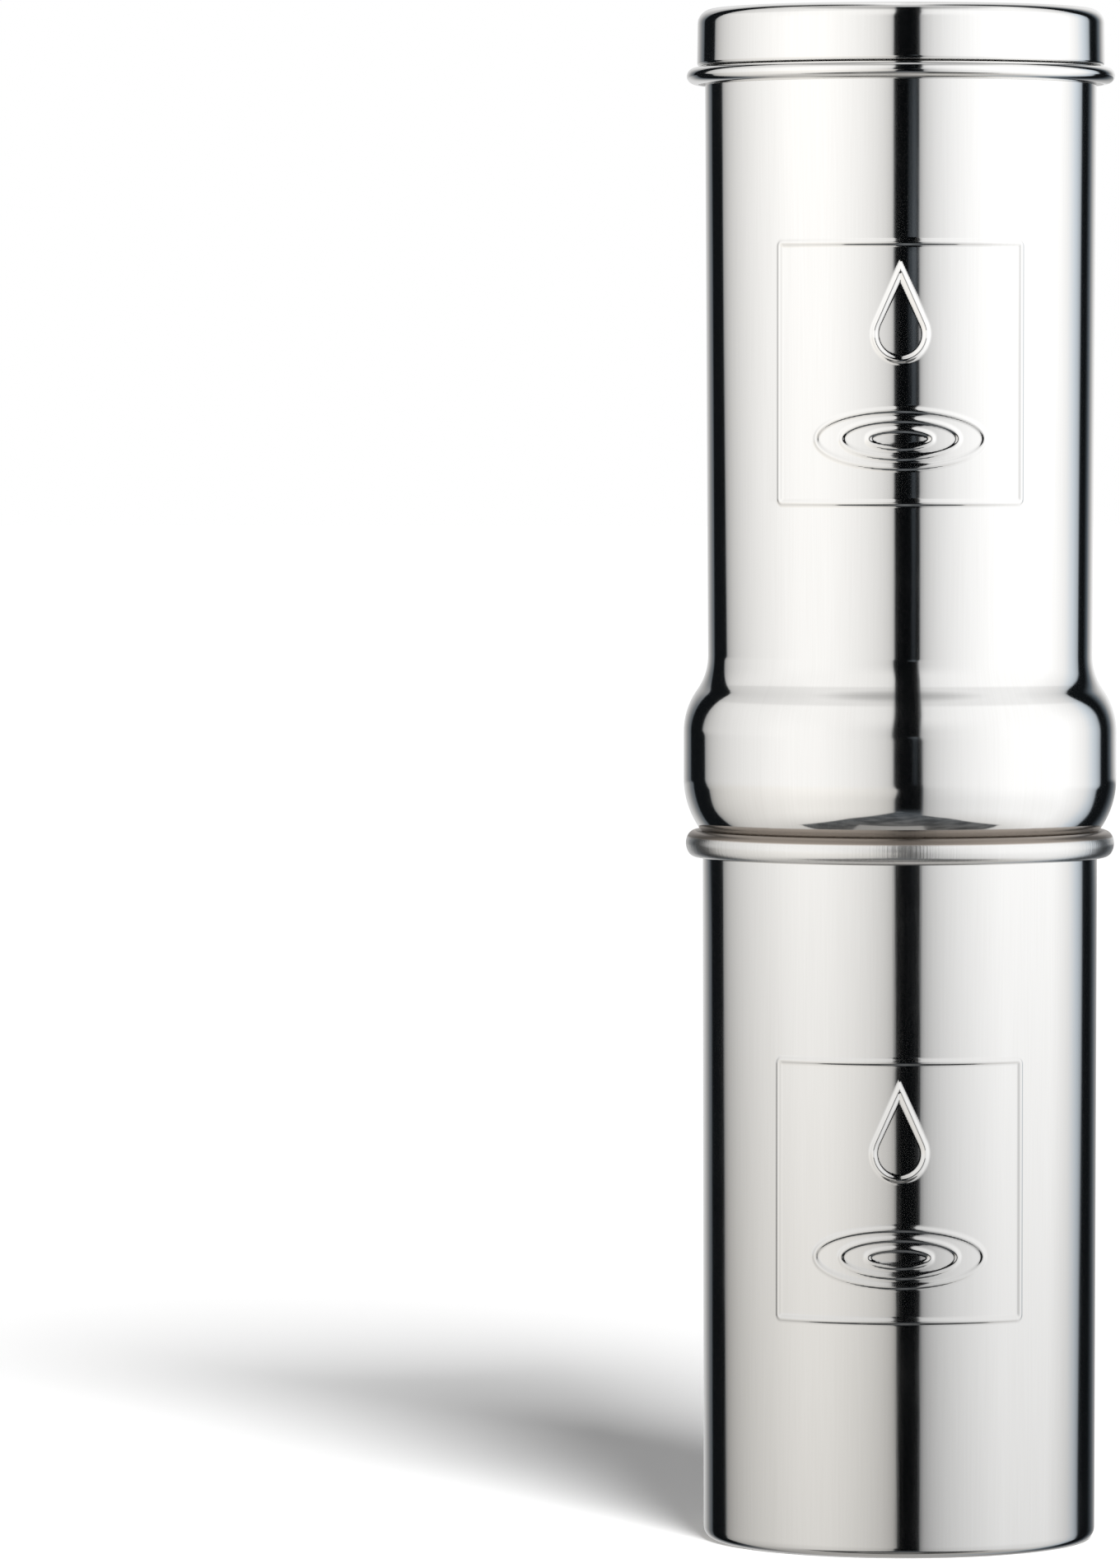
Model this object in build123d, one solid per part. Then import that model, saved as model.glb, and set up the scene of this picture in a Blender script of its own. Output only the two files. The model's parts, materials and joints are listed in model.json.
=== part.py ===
from build123d import *

import math
import os

# Gravity water filter with a tap: a flat lid, two stacked steel chambers, two ceramic candles
# that drip from the upper chamber into the lower one, and a self-closing lever tap.
#
# Millimetres, +Z up. The origin is the centre of the underside of the lower chamber, on the axis
# of the chambers. The raised panels face -Y, and the tap stands out at +Y. The candles stand side
# by side along X.

# ---------------------------------------------------------------------------------------------
# Driving dimensions
# ---------------------------------------------------------------------------------------------

sheet = 0.8  # steel of the lid and of both chambers
seat_gap = 0.3  # left between pieces that lift off each other

# Lower chamber. Radii are of the outer surface.
lower_height = 262.8  # underside to the crest of the rolled rim
lower_mouth_radius = 73.0  # wall just below the rim
lower_taper = 0.5  # how much narrower the wall is at the base
lower_corner = 4.0
lower_rim_width = 7.1  # the rolled rim, across the roll
lower_rim_height = 9.8

# Upper chamber, from its foot up
cup_clearance = 0.6  # radial, in the mouth of the lower chamber
cup_depth = 14.0  # floor below the crest of the lower chamber's rim
cup_corner = 3.0
cup_fillet = 3.0  # between the cup and the seat cone
seat_slope = 34.0  # degrees between the seat cone and the axis
bulge_foot_arc = 31.7
bulge_band = 17.4  # straight height of the bulge
bulge_projection = 9.0  # beyond the waist
bulge_head_arc = 26.7
waist_arc = 22.0
upper_inset = 1.9  # waist radius below the lower chamber's mouth radius
upper_taper = 1.2  # the wall widens by this from the waist to the mouth
upper_wall_height = 210.8  # waist to the foot of the rolled rim
upper_rim_width = 7.6
upper_rim_height = 6.3

# Raised panels
panel_size = 97.5  # square, measured along the wall
panel_border = 3.0
panel_corner = 2.8
relief_height = 0.9
lower_panel_centre = 134.0  # above the base
upper_panel_centre = 104.3  # above the waist
drop_radius = 11.0
drop_height = 38.0  # bottom of the drop to its tip
drop_line = 3.0
drop_lift = 3.0  # bottom of the drop above the middle of the panel
ripple_widths = (26.0, 46.0, 66.0)
ripple_flatness = 0.36  # height of a ripple over its width
ripple_line = 2.6
ripple_drop = 24.0  # middle of the ripples below the middle of the panel

# Lid
lid_height = 21.2
lid_draft = 0.3  # the top is narrower than the skirt by this, radially
lid_edge_arc = 5.5
lid_fold_arc = 1.4  # between the skirt and the flange, and at the inner skirt
lid_locator_depth = 13.0  # inner skirt below the flange
lid_locator_clearance = 0.9  # radial, in the mouth of the upper chamber

# Candles
candle_radius = 25.4
candle_height = 178.0  # foot of the mount to the top of the dome
candle_wall = 8.0
candle_wall_gap = 9.5  # mount to the wall of the chamber
core_clearance = 0.8
core_headroom = 12.0
mount_rim = 1.6  # wall of the mount's cup around the ceramic
mount_cup_depth = 10.0
mount_floor = 4.0
stem_radius = 6.0
stem_bore_radius = 2.5
stem_length = 30.0  # below the chamber floor
stem_hole_clearance = 0.3
candle_washer_radius = 14.0
candle_washer_thickness = 3.0
wing_nut_radius = 10.5
wing_nut_height = 9.0
wing_span = 46.0
wing_height = 14.0
wing_thickness = 3.6

# Tap
tap_height = 40.0  # axis of the shank above the base
shank_radius = 8.0
shank_hole_clearance = 0.25
shank_end_margin = 3.0  # shank beyond the back nut
waterway_radius = 4.5
tap_washer_radius = 13.0
tap_washer_thickness = 2.0
tap_washer_gap = 0.15  # between the inner washer's round face and the wall
back_nut_flats = 24.0
back_nut_thickness = 6.0
flange_thickness = 3.0
neck_radius = 7.5
barrel_radius = 11.5
barrel_reach = 24.0  # barrel axis beyond the wall
barrel_wall = 3.0
barrel_top = 13.0  # above the shank axis
barrel_bottom = 15.0  # below the shank axis
spout_radius = 8.0
spout_wall = 2.0
spout_end = 27.0  # below the shank axis
spout_cone = 4.0
seat_drop = 6.0  # valve seat below the shank axis
seat_thickness = 2.0
seat_hole_radius = 4.5
bonnet_plug = 4.0  # screwed into the barrel
bonnet_flats = 22.0
bonnet_height = 5.0
running_clearance = 0.05  # radial, for every piece that slides or turns on another
valve_stem_radius = 2.5
seat_cup_radius = 6.5
seat_cup_height = 5.0
seat_cup_floor = 1.2
valve_head_radius = 4.0
valve_head_height = 2.4
spring_collar_radius = 5.8
spring_collar_height = 1.0
spring_wire = 1.0
spring_radius = 4.4  # middle of the wire
spring_turns = 4.5
pin_radius = 1.5
pin_height = 6.0  # pin above the bonnet
lever_cheek = 3.2
lever_heel_back = 6.5
lever_heel_reach = 9.5  # from the pin to the heel's outer corner
lever_web = 3.0
lever_head = 4.5  # above the pin
lever_length = 36.0  # pin to the tip of the paddle
lever_paddle_width = 18.0
lever_paddle_thickness = 4.0
lever_rise = 6.0  # tip of the paddle above its root
lever_tilt = 25.0  # degrees, fully open

# ---------------------------------------------------------------------------------------------
# Places that follow from them
# ---------------------------------------------------------------------------------------------

lower_rim_foot = lower_height - lower_rim_height
lower_rim_middle = lower_height - lower_rim_height / 2
lower_rim_centre_radius = lower_mouth_radius - sheet + lower_rim_width / 2
lower_base_radius = lower_mouth_radius - lower_taper

cup_radius = lower_mouth_radius - sheet - cup_clearance
upper_floor = lower_height - cup_depth
waist_radius = lower_mouth_radius - upper_inset
upper_mouth_radius = waist_radius + upper_taper
bulge_radius = waist_radius + bulge_projection

# The seat cone lies seat_gap off the rolled rim of the lower chamber, which is an ellipse in
# section, and runs tangent into the foot of the bulge.
slope_sin = math.sin(math.radians(seat_slope))
slope_cos = math.cos(math.radians(seat_slope))
rim_reach = math.hypot(lower_rim_width / 2 * slope_cos, lower_rim_height / 2 * slope_sin)
seat_top_radius = bulge_radius - bulge_foot_arc * (1 - slope_cos)
seat_top = lower_rim_middle + (
    rim_reach + seat_gap + slope_cos * (seat_top_radius - lower_rim_centre_radius)
) / slope_sin
band_bottom = seat_top + bulge_foot_arc * slope_sin
band_top = band_bottom + bulge_band

# The head of the bulge is an S of two arcs, which ends tangent to the wall's slight lean.
lean = math.atan2(upper_taper, upper_wall_height)
head_turn = math.acos(
    (bulge_head_arc + waist_arc * math.cos(lean) - bulge_projection) / (bulge_head_arc + waist_arc)
)
waist = band_top + bulge_head_arc * math.sin(head_turn)
waist += waist_arc * (math.sin(head_turn) + math.sin(lean))
upper_rim_foot = waist + upper_wall_height
upper_rim_middle = upper_rim_foot + upper_rim_height / 2
upper_crest = upper_rim_foot + upper_rim_height
upper_rim_centre_radius = upper_mouth_radius - sheet + upper_rim_width / 2

lid_flange = upper_crest + seat_gap
lid_top = lid_flange + lid_height
lid_radius = upper_rim_centre_radius
lid_locator_radius = upper_mouth_radius - sheet - lid_locator_clearance

mount_radius = candle_radius + mount_rim
candle_offset = min(waist_radius, cup_radius) - sheet - candle_wall_gap - mount_radius
upper_floor_top = upper_floor + sheet
candle_foot = upper_floor_top + candle_washer_thickness
mount_cup_floor = candle_foot + mount_floor
core_radius = candle_radius - candle_wall - core_clearance

lower_wall_at_tap = lower_base_radius + lower_taper * tap_height / lower_rim_foot
barrel_axis = lower_wall_at_tap + barrel_reach
valve_chamber_radius = barrel_radius - barrel_wall
valve_seat = tap_height - seat_drop
bonnet_foot = tap_height + barrel_top - bonnet_plug
bonnet_top = tap_height + barrel_top + bonnet_height
pin_z = bonnet_top + pin_height
seat_cup_top = valve_seat + seat_cup_height
spring_foot = seat_cup_top + spring_collar_height
spout_tip = tap_height - spout_end

BEYOND = 20.0  # how far a cutting or filling shape runs past what it cuts


# ---------------------------------------------------------------------------------------------
# Helpers
# ---------------------------------------------------------------------------------------------


def lathe(section):
    """A solid of revolution about Z from a section in X (radius) and Y (height)."""
    return revolve(Plane.XZ * section, axis=Axis.Z)


def polygon(*points):
    return make_face(Polyline(*points, close=True))


def filled(half_outline):
    """The face between a half outline, which starts and ends on the axis, and its mirror image."""
    other_half = mirror(half_outline, about=Plane.YZ)
    return make_face(half_outline.edges() + other_half.edges())


def window(bottom, top):
    """All of a half section between two heights."""
    middle = (bottom + top) / 2
    return Pos(lower_height, middle) * Rectangle(2 * lower_height, top - bottom)


def sheet_section(outline, bottom, top):
    """Half section of a sheet-thick wall inside an outline, between two heights."""
    return (outline - offset(outline, amount=-sheet)) & window(bottom, top)


def rolled_rim(mouth_radius, middle, width, height):
    """Half section of a rim rolled outwards from the top of a wall, with a slit behind its tail."""
    centre = Pos(mouth_radius - sheet + width / 2, middle)
    roll = Ellipse(width / 2, height / 2) - Ellipse(width / 2 - sheet, height / 2 - sheet)
    slit_edge = mouth_radius + seat_gap
    behind = polygon(
        (slit_edge - BEYOND, middle),
        (slit_edge, middle),
        (slit_edge, middle - BEYOND),
        (slit_edge - BEYOND, middle - BEYOND),
    )
    return centre * roll - behind


def cylinder_between(radius, start, end):
    """A round bar between two points."""
    along = Vector(*end) - Vector(*start)
    middle = (Vector(*start) + Vector(*end)) * 0.5
    place = Plane(origin=middle, z_dir=along.normalized())
    return place.location * Cylinder(radius, along.length)


# ---------------------------------------------------------------------------------------------
# Raised panels
# ---------------------------------------------------------------------------------------------


def drop_outline():
    """A water drop, tip up, with its round end centred on the origin."""
    tip = drop_height - drop_radius
    touch = math.acos(drop_radius / tip)
    side = (drop_radius * math.sin(touch), drop_radius * math.cos(touch))
    cone = polygon((0, 0), side, (0, tip), (-side[0], side[1]))
    return Circle(drop_radius) + cone


def ripple(width):
    half = width / 2
    ring = Ellipse(half, half * ripple_flatness)
    return ring - Ellipse(half - ripple_line, half * ripple_flatness - ripple_line)


def panel_drawing(wall_radius):
    """The raised lines of a panel, as seen from the front."""

    def flattened(arc_length):
        return wall_radius * math.sin(arc_length / wall_radius)

    inside = panel_size - 2 * panel_border
    border = RectangleRounded(2 * flattened(panel_size / 2), panel_size, panel_corner)
    border -= RectangleRounded(2 * flattened(inside / 2), inside, panel_corner - panel_border / 2)
    drop = drop_outline()
    drop -= offset(drop, amount=-drop_line)
    ripples = Sketch() + [ripple(width) for width in ripple_widths]
    return border + Pos(0, drop_lift + drop_radius) * drop + Pos(0, -ripple_drop) * ripples


def raised_panel(centre, radius_at):
    """The lines of a panel, standing off the wall whose radius at a height is radius_at."""
    bottom = centre - panel_size / 2 - panel_border
    top = centre + panel_size / 2 + panel_border
    low, high = radius_at(bottom), radius_at(top)
    skin = lathe(
        polygon(
            (low - sheet / 2, bottom),
            (low + relief_height, bottom),
            (high + relief_height, top),
            (high - sheet / 2, top),
        )
    )
    front = Plane(origin=(0, -bulge_radius, centre), x_dir=(1, 0, 0), z_dir=(0, -1, 0))
    lines = extrude(front * panel_drawing(radius_at(centre)), amount=-bulge_radius)
    return lines & skin


# ---------------------------------------------------------------------------------------------
# Chambers and lid
# ---------------------------------------------------------------------------------------------


def lower_radius_at(height):
    return lower_base_radius + lower_taper * height / lower_rim_foot


def upper_radius_at(height):
    return waist_radius + upper_taper * (height - waist) / upper_wall_height


def lower_outline():
    """The lower chamber, filled, running on past its mouth."""
    floor_and_wall = FilletPolyline(
        (0, 0),
        (lower_base_radius, 0),
        (lower_mouth_radius, lower_rim_foot),
        radius=lower_corner,
    )
    beyond = Line(floor_and_wall @ 1, (lower_mouth_radius, lower_rim_middle + BEYOND))
    top = Line(beyond @ 1, (0, lower_rim_middle + BEYOND))
    return filled(Curve() + [floor_and_wall, beyond, top])


def upper_outline():
    """The upper chamber, filled, running on past its mouth."""
    slope = (slope_sin, slope_cos)
    cone_foot_radius = cup_radius + cup_fillet * (1 - slope_cos)
    cone_height = (seat_top_radius - cone_foot_radius) / slope_sin * slope_cos
    cup_top = seat_top - cone_height - cup_fillet * slope_sin
    floor = Line((0, upper_floor), (cup_radius - cup_corner, upper_floor))
    corner = JernArc(floor @ 1, (1, 0), cup_corner, 90)
    cup = Line(corner @ 1, (cup_radius, cup_top))
    hollow = JernArc(cup @ 1, (0, 1), cup_fillet, -seat_slope)
    cone = Line(hollow @ 1, (seat_top_radius, seat_top))
    foot = JernArc(cone @ 1, slope, bulge_foot_arc, seat_slope)
    band = Line(foot @ 1, (bulge_radius, band_top))
    head = JernArc(band @ 1, (0, 1), bulge_head_arc, math.degrees(head_turn))
    neck = JernArc(head @ 1, head % 1, waist_arc, -math.degrees(head_turn + lean))
    wall = Line(neck @ 1, (upper_mouth_radius, upper_rim_foot))
    beyond = Line(wall @ 1, (upper_mouth_radius, upper_rim_middle + BEYOND))
    top = Line(beyond @ 1, (0, upper_rim_middle + BEYOND))
    lines = [floor, corner, cup, hollow, cone, foot, band, head, neck, wall, beyond, top]
    return filled(Curve() + lines)


def lid_outline():
    """The lid, filled, running on past the end of its inner skirt."""
    foot = lid_flange - lid_locator_depth - BEYOND
    start = Line((0, foot), (lid_locator_radius, foot))
    side = FilletPolyline(
        (lid_locator_radius, foot),
        (lid_locator_radius, lid_flange),
        (lid_radius, lid_flange),
        (lid_radius - lid_draft, lid_top),
        (0, lid_top),
        radius=(lid_fold_arc, lid_fold_arc, lid_edge_arc),
    )
    return filled(Curve() + [start, side])


def make_lower_chamber():
    outline = lower_outline()
    section = sheet_section(outline, 0, lower_rim_middle)
    section += rolled_rim(lower_mouth_radius, lower_rim_middle, lower_rim_width, lower_rim_height)
    chamber = lathe(section) + raised_panel(lower_panel_centre, lower_radius_at)
    hole = cylinder_between(
        shank_radius + shank_hole_clearance,
        (0, lower_wall_at_tap - BEYOND, tap_height),
        (0, lower_wall_at_tap + BEYOND, tap_height),
    )
    return chamber - hole


def make_upper_chamber():
    outline = upper_outline()
    section = sheet_section(outline, upper_floor, upper_rim_middle)
    section += rolled_rim(upper_mouth_radius, upper_rim_middle, upper_rim_width, upper_rim_height)
    panel = raised_panel(waist + upper_panel_centre, upper_radius_at)
    chamber = lathe(section) + panel
    for side in (-1, 1):
        x = side * candle_offset
        chamber -= cylinder_between(
            stem_radius + stem_hole_clearance,
            (x, 0, upper_floor - BEYOND),
            (x, 0, upper_floor + BEYOND),
        )
    return chamber


def make_lid():
    return lathe(sheet_section(lid_outline(), lid_flange - lid_locator_depth, lid_top))


# ---------------------------------------------------------------------------------------------
# Candles
# ---------------------------------------------------------------------------------------------


def dome_section(radius, bottom, top):
    """Half section of a bar with a round top."""
    bar = polygon((0, bottom), (radius, bottom), (radius, top - radius), (0, top - radius))
    cap = Pos(0, top - radius) * Circle(radius)
    return bar + (cap & window(top - radius, top))


def make_candle_shell():
    top = candle_foot + candle_height
    outside = dome_section(candle_radius, mount_cup_floor, top)
    inside = dome_section(candle_radius - candle_wall, mount_cup_floor, top - candle_wall)
    return lathe(outside - inside)


def make_candle_core():
    height = candle_foot + candle_height - candle_wall - core_headroom - core_radius
    height -= mount_cup_floor
    bottom = Pos(0, 0, mount_cup_floor + height / 2)
    core = bottom * Cylinder(core_radius, height)
    bore_height = height / 2
    bore = Pos(0, 0, mount_cup_floor + bore_height / 2) * Cylinder(stem_bore_radius, bore_height)
    return core - bore


def make_candle_mount():
    cup_top = mount_cup_floor + mount_cup_depth
    stem_tip = upper_floor - stem_length
    section = polygon(
        (stem_bore_radius, stem_tip),
        (stem_radius - 1, stem_tip),
        (stem_radius, stem_tip + 1),
        (stem_radius, candle_foot),
        (mount_radius - 1, candle_foot),
        (mount_radius, candle_foot + 1),
        (mount_radius, cup_top),
        (candle_radius, cup_top),
        (candle_radius, mount_cup_floor),
        (stem_bore_radius, mount_cup_floor),
    )
    return lathe(section)


def make_candle_washer():
    section = polygon(
        (stem_radius, upper_floor_top),
        (candle_washer_radius, upper_floor_top),
        (candle_washer_radius, candle_foot),
        (stem_radius, candle_foot),
    )
    return lathe(section)


def make_wing_nut():
    hub_top = upper_floor
    hub_bottom = hub_top - wing_nut_height
    hub = Pos(0, 0, (hub_top + hub_bottom) / 2) * Cylinder(wing_nut_radius, wing_nut_height)
    wing_outline = polygon(
        (0, hub_top - 2),
        (wing_nut_radius, hub_top - 2),
        (wing_span / 2, hub_top - wing_height / 2),
        (wing_span / 2, hub_top - wing_height),
        (wing_span / 2 - 6, hub_top - wing_height),
        (wing_nut_radius, hub_bottom),
        (0, hub_bottom),
    )
    wing = extrude(Plane.YZ * wing_outline, amount=wing_thickness / 2, both=True)
    nut = hub + wing + mirror(wing, about=Plane.XZ)
    bore = Pos(0, 0, upper_floor) * Cylinder(stem_radius, 2 * wing_nut_height + BEYOND)
    return nut - bore


# ---------------------------------------------------------------------------------------------
# Tap
# ---------------------------------------------------------------------------------------------


def on_tap_axis(y):
    return (0, y, tap_height)


def inner_washer_face():
    """Where the inner washer's flat face lies, clear of the hollow wall."""
    inside = lower_wall_at_tap - sheet
    return math.sqrt(inside**2 - tap_washer_radius**2) - tap_washer_thickness


def make_tap_outer_washer():
    face = lower_wall_at_tap + tap_washer_thickness
    disc = cylinder_between(tap_washer_radius, on_tap_axis(0), on_tap_axis(face))
    hole = cylinder_between(shank_radius, on_tap_axis(0), on_tap_axis(face + BEYOND))
    return disc - lathe(lower_outline() & window(0, lower_height + BEYOND)) - hole


def make_tap_inner_washer():
    face = inner_washer_face()
    disc = cylinder_between(tap_washer_radius, on_tap_axis(face), on_tap_axis(bulge_radius))
    hole = cylinder_between(shank_radius, on_tap_axis(0), on_tap_axis(bulge_radius + BEYOND))
    inside = offset(lower_outline(), amount=-sheet - tap_washer_gap) & window(0, lower_height)
    return (disc & lathe(inside)) - hole


def make_tap_back_nut():
    face = inner_washer_face()
    place = Plane(origin=on_tap_axis(face), z_dir=(0, -1, 0))
    hexagon = RegularPolygon(back_nut_flats / 2, 6, major_radius=False)
    nut = extrude(place * hexagon, amount=back_nut_thickness)
    return nut - cylinder_between(shank_radius, on_tap_axis(0), on_tap_axis(face + BEYOND))


def make_tap_body():
    shank_end = inner_washer_face() - back_nut_thickness - shank_end_margin
    flange_foot = lower_wall_at_tap + tap_washer_thickness
    flange_top = flange_foot + flange_thickness
    barrel_foot = tap_height - barrel_bottom
    cone_foot = barrel_foot - spout_cone
    barrel = polygon(
        (0, spout_tip),
        (spout_radius, spout_tip),
        (spout_radius, cone_foot),
        (barrel_radius, barrel_foot),
        (barrel_radius, tap_height + barrel_top),
        (0, tap_height + barrel_top),
    )
    body = Pos(0, barrel_axis, 0) * lathe(barrel)
    body += cylinder_between(shank_radius, on_tap_axis(shank_end), on_tap_axis(flange_top))
    body += cylinder_between(tap_washer_radius, on_tap_axis(flange_foot), on_tap_axis(flange_top))
    body += cylinder_between(neck_radius, on_tap_axis(flange_top), on_tap_axis(barrel_axis))
    waterway = polygon(
        (0, spout_tip - BEYOND),
        (spout_radius - spout_wall, spout_tip - BEYOND),
        (spout_radius - spout_wall, valve_seat - seat_thickness),
        (seat_hole_radius, valve_seat - seat_thickness),
        (seat_hole_radius, valve_seat),
        (valve_chamber_radius, valve_seat),
        (valve_chamber_radius, tap_height + barrel_top + BEYOND),
        (0, tap_height + barrel_top + BEYOND),
    )
    body -= Pos(0, barrel_axis, 0) * lathe(waterway)
    inlet = cylinder_between(
        waterway_radius, on_tap_axis(shank_end - BEYOND), on_tap_axis(barrel_axis)
    )
    return body - inlet


def make_tap_bonnet():
    plug_radius = valve_chamber_radius
    plug_height = bonnet_plug + bonnet_height
    plug = Pos(0, 0, bonnet_foot + plug_height / 2) * Cylinder(plug_radius, plug_height)
    hexagon = RegularPolygon(bonnet_flats / 2, 6, major_radius=False)
    rim_foot = bonnet_foot + bonnet_plug
    rim = extrude(Pos(0, 0, rim_foot) * hexagon, amount=bonnet_height)
    crown = Pos(0, 0, rim_foot + bonnet_height / 2) * Cone(
        barrel_radius + bonnet_height, barrel_radius, bonnet_height
    )
    bore = Pos(0, 0, bonnet_foot) * Cylinder(
        valve_stem_radius + running_clearance, 4 * plug_height
    )
    return Pos(0, barrel_axis, 0) * (plug + (rim & crown) - bore)


def make_tap_stem():
    head_foot = valve_seat + seat_cup_floor
    head_top = head_foot + valve_head_height
    tip = pin_z + pin_radius + 1.6
    section = polygon(
        (0, head_foot),
        (valve_head_radius, head_foot),
        (valve_head_radius, head_top),
        (valve_stem_radius, head_top),
        (valve_stem_radius, seat_cup_top),
        (spring_collar_radius, seat_cup_top),
        (spring_collar_radius, spring_foot),
        (valve_stem_radius, spring_foot),
        (valve_stem_radius, tip - 0.6),
        (valve_stem_radius - 0.6, tip),
        (0, tip),
    )
    eye = cylinder_between(pin_radius, (-BEYOND, 0, pin_z), (BEYOND, 0, pin_z))
    return Pos(0, barrel_axis, 0) * (lathe(section) - eye)


def make_tap_seat_cup():
    head_foot = valve_seat + seat_cup_floor
    head_top = head_foot + valve_head_height
    section = polygon(
        (0, valve_seat),
        (seat_cup_radius, valve_seat),
        (seat_cup_radius, seat_cup_top - 1),
        (seat_cup_radius - 1, seat_cup_top),
        (valve_stem_radius, seat_cup_top),
        (valve_stem_radius, head_top),
        (valve_head_radius, head_top),
        (valve_head_radius, head_foot),
        (0, head_foot),
    )
    return Pos(0, barrel_axis, 0) * lathe(section)


def make_tap_spring():
    room = bonnet_foot - spring_foot - spring_wire
    path = Helix(room / spring_turns, room, spring_radius)
    start = Plane(origin=path @ 0, z_dir=path % 0)
    coil = sweep(start * Circle(spring_wire / 2), path=path)
    return Pos(0, barrel_axis, spring_foot + spring_wire / 2) * coil


def make_tap_lever_pin():
    half = valve_stem_radius + running_clearance + lever_cheek
    pin = cylinder_between(pin_radius, (-half, 0, pin_z), (half, 0, pin_z))
    return Pos(0, barrel_axis, 0) * pin


def make_tap_lever():
    heel = bonnet_top + seat_gap
    head = pin_z + lever_head
    root = head - lever_paddle_thickness
    slot_half = valve_stem_radius + running_clearance
    half_width = slot_half + lever_cheek
    side_view = polygon(
        (-lever_heel_back, heel),
        (lever_heel_reach, heel),
        (lever_heel_reach, root),
        (lever_length, root + lever_rise),
        (lever_length, root + lever_rise + lever_paddle_thickness),
        (lever_heel_reach, head),
        (-lever_heel_back + 2, head),
        (-lever_heel_back, head - 2),
    )
    top_view = polygon(
        (-lever_heel_back, -half_width),
        (lever_heel_reach, -half_width),
        (lever_length - 6, -lever_paddle_width / 2),
        (lever_length, -lever_paddle_width / 2 + 4),
        (lever_length, lever_paddle_width / 2 - 4),
        (lever_length - 6, lever_paddle_width / 2),
        (lever_heel_reach, half_width),
        (-lever_heel_back, half_width),
    )
    profile = extrude(Plane.YZ * side_view, amount=lever_paddle_width, both=True)
    plan = extrude(Rot(0, 0, 90) * top_view, amount=head + lever_rise + BEYOND)
    slot_end = lever_heel_reach - lever_web
    slot_start = -lever_heel_back - BEYOND
    slot = Pos(0, (slot_start + slot_end) / 2, pin_z) * Box(
        2 * slot_half, slot_end - slot_start, 2 * (pin_height + lever_head)
    )
    eye_radius = pin_radius + running_clearance
    eye = cylinder_between(eye_radius, (-BEYOND, 0, pin_z), (BEYOND, 0, pin_z))
    return Pos(0, barrel_axis, 0) * ((profile & plan) - slot - eye)


# ---------------------------------------------------------------------------------------------
# All pieces
# ---------------------------------------------------------------------------------------------


def make_pieces():
    pieces = {
        "lid": make_lid(),
        "upper_chamber": make_upper_chamber(),
        "lower_chamber": make_lower_chamber(),
        "tap_body": make_tap_body(),
        "tap_outer_washer": make_tap_outer_washer(),
        "tap_inner_washer": make_tap_inner_washer(),
        "tap_back_nut": make_tap_back_nut(),
        "tap_bonnet": make_tap_bonnet(),
        "tap_stem": make_tap_stem(),
        "tap_seat_cup": make_tap_seat_cup(),
        "tap_spring": make_tap_spring(),
        "tap_lever": make_tap_lever(),
        "tap_lever_pin": make_tap_lever_pin(),
    }
    candle = {
        "candle_shell": make_candle_shell(),
        "candle_core": make_candle_core(),
        "candle_base": make_candle_mount(),
        "candle_washer": make_candle_washer(),
        "candle_wing_nut": make_wing_nut(),
    }
    for side, x in (("left", -candle_offset), ("right", candle_offset)):
        for name, piece in candle.items():
            pieces[f"{side}_{name}"] = Pos(x, 0, 0) * piece
    return pieces


pieces = make_pieces()
os.makedirs("parts", exist_ok=True)
for name, piece in pieces.items():
    export_step(piece, f"parts/{name}.step")

heel_drop = pin_height - seat_gap
tilt = math.radians(lever_tilt)
stem_lift = lever_heel_reach * math.sin(tilt) - heel_drop * (1 - math.cos(tilt))
print(f"overall height {lid_top:.2f}, widest radius {bulge_radius:.2f}")
print(f"waist at {waist:.2f}, upper crest {upper_crest:.2f}, seat top {seat_top:.2f}")
print(f"candles at x = {candle_offset:.2f}, top {candle_foot + candle_height:.2f}")
print(f"tap axis y {barrel_axis:.2f}, pin z {pin_z:.2f}, stem lift {stem_lift:.3f}")
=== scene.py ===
# %% [markdown]
# # A gravity water filter in polished steel
#
# Water is poured into the upper chamber, seeps through two ceramic candles and drips into the
# lower chamber, where a small lever tap at the back draws it off. Both chambers and the lid are
# drawn from stainless sheet and polished until they mirror the room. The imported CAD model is
# loaded first: every piece below goes where the CAD has it, so nothing is fitted by eye.

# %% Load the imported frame
import json
import math
from types import SimpleNamespace

import bmesh
import bpy
from bmesh.types import BMEdge, BMVert
from mathutils import Matrix, Vector


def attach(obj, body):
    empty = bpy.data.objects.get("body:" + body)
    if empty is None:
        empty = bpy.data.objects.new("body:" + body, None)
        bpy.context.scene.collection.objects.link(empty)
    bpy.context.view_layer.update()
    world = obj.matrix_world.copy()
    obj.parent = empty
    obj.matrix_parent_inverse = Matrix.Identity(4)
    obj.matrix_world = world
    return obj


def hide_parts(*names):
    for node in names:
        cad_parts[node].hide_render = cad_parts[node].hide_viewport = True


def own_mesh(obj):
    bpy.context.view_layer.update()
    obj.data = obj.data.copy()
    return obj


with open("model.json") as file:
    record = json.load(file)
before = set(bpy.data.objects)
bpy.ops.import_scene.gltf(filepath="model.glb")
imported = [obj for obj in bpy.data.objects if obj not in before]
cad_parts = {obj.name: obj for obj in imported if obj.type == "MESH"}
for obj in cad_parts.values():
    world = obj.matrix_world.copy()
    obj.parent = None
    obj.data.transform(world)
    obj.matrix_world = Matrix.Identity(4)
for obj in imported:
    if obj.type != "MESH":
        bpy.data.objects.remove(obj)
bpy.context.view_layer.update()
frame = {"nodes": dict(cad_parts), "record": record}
MM = 0.001

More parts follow.
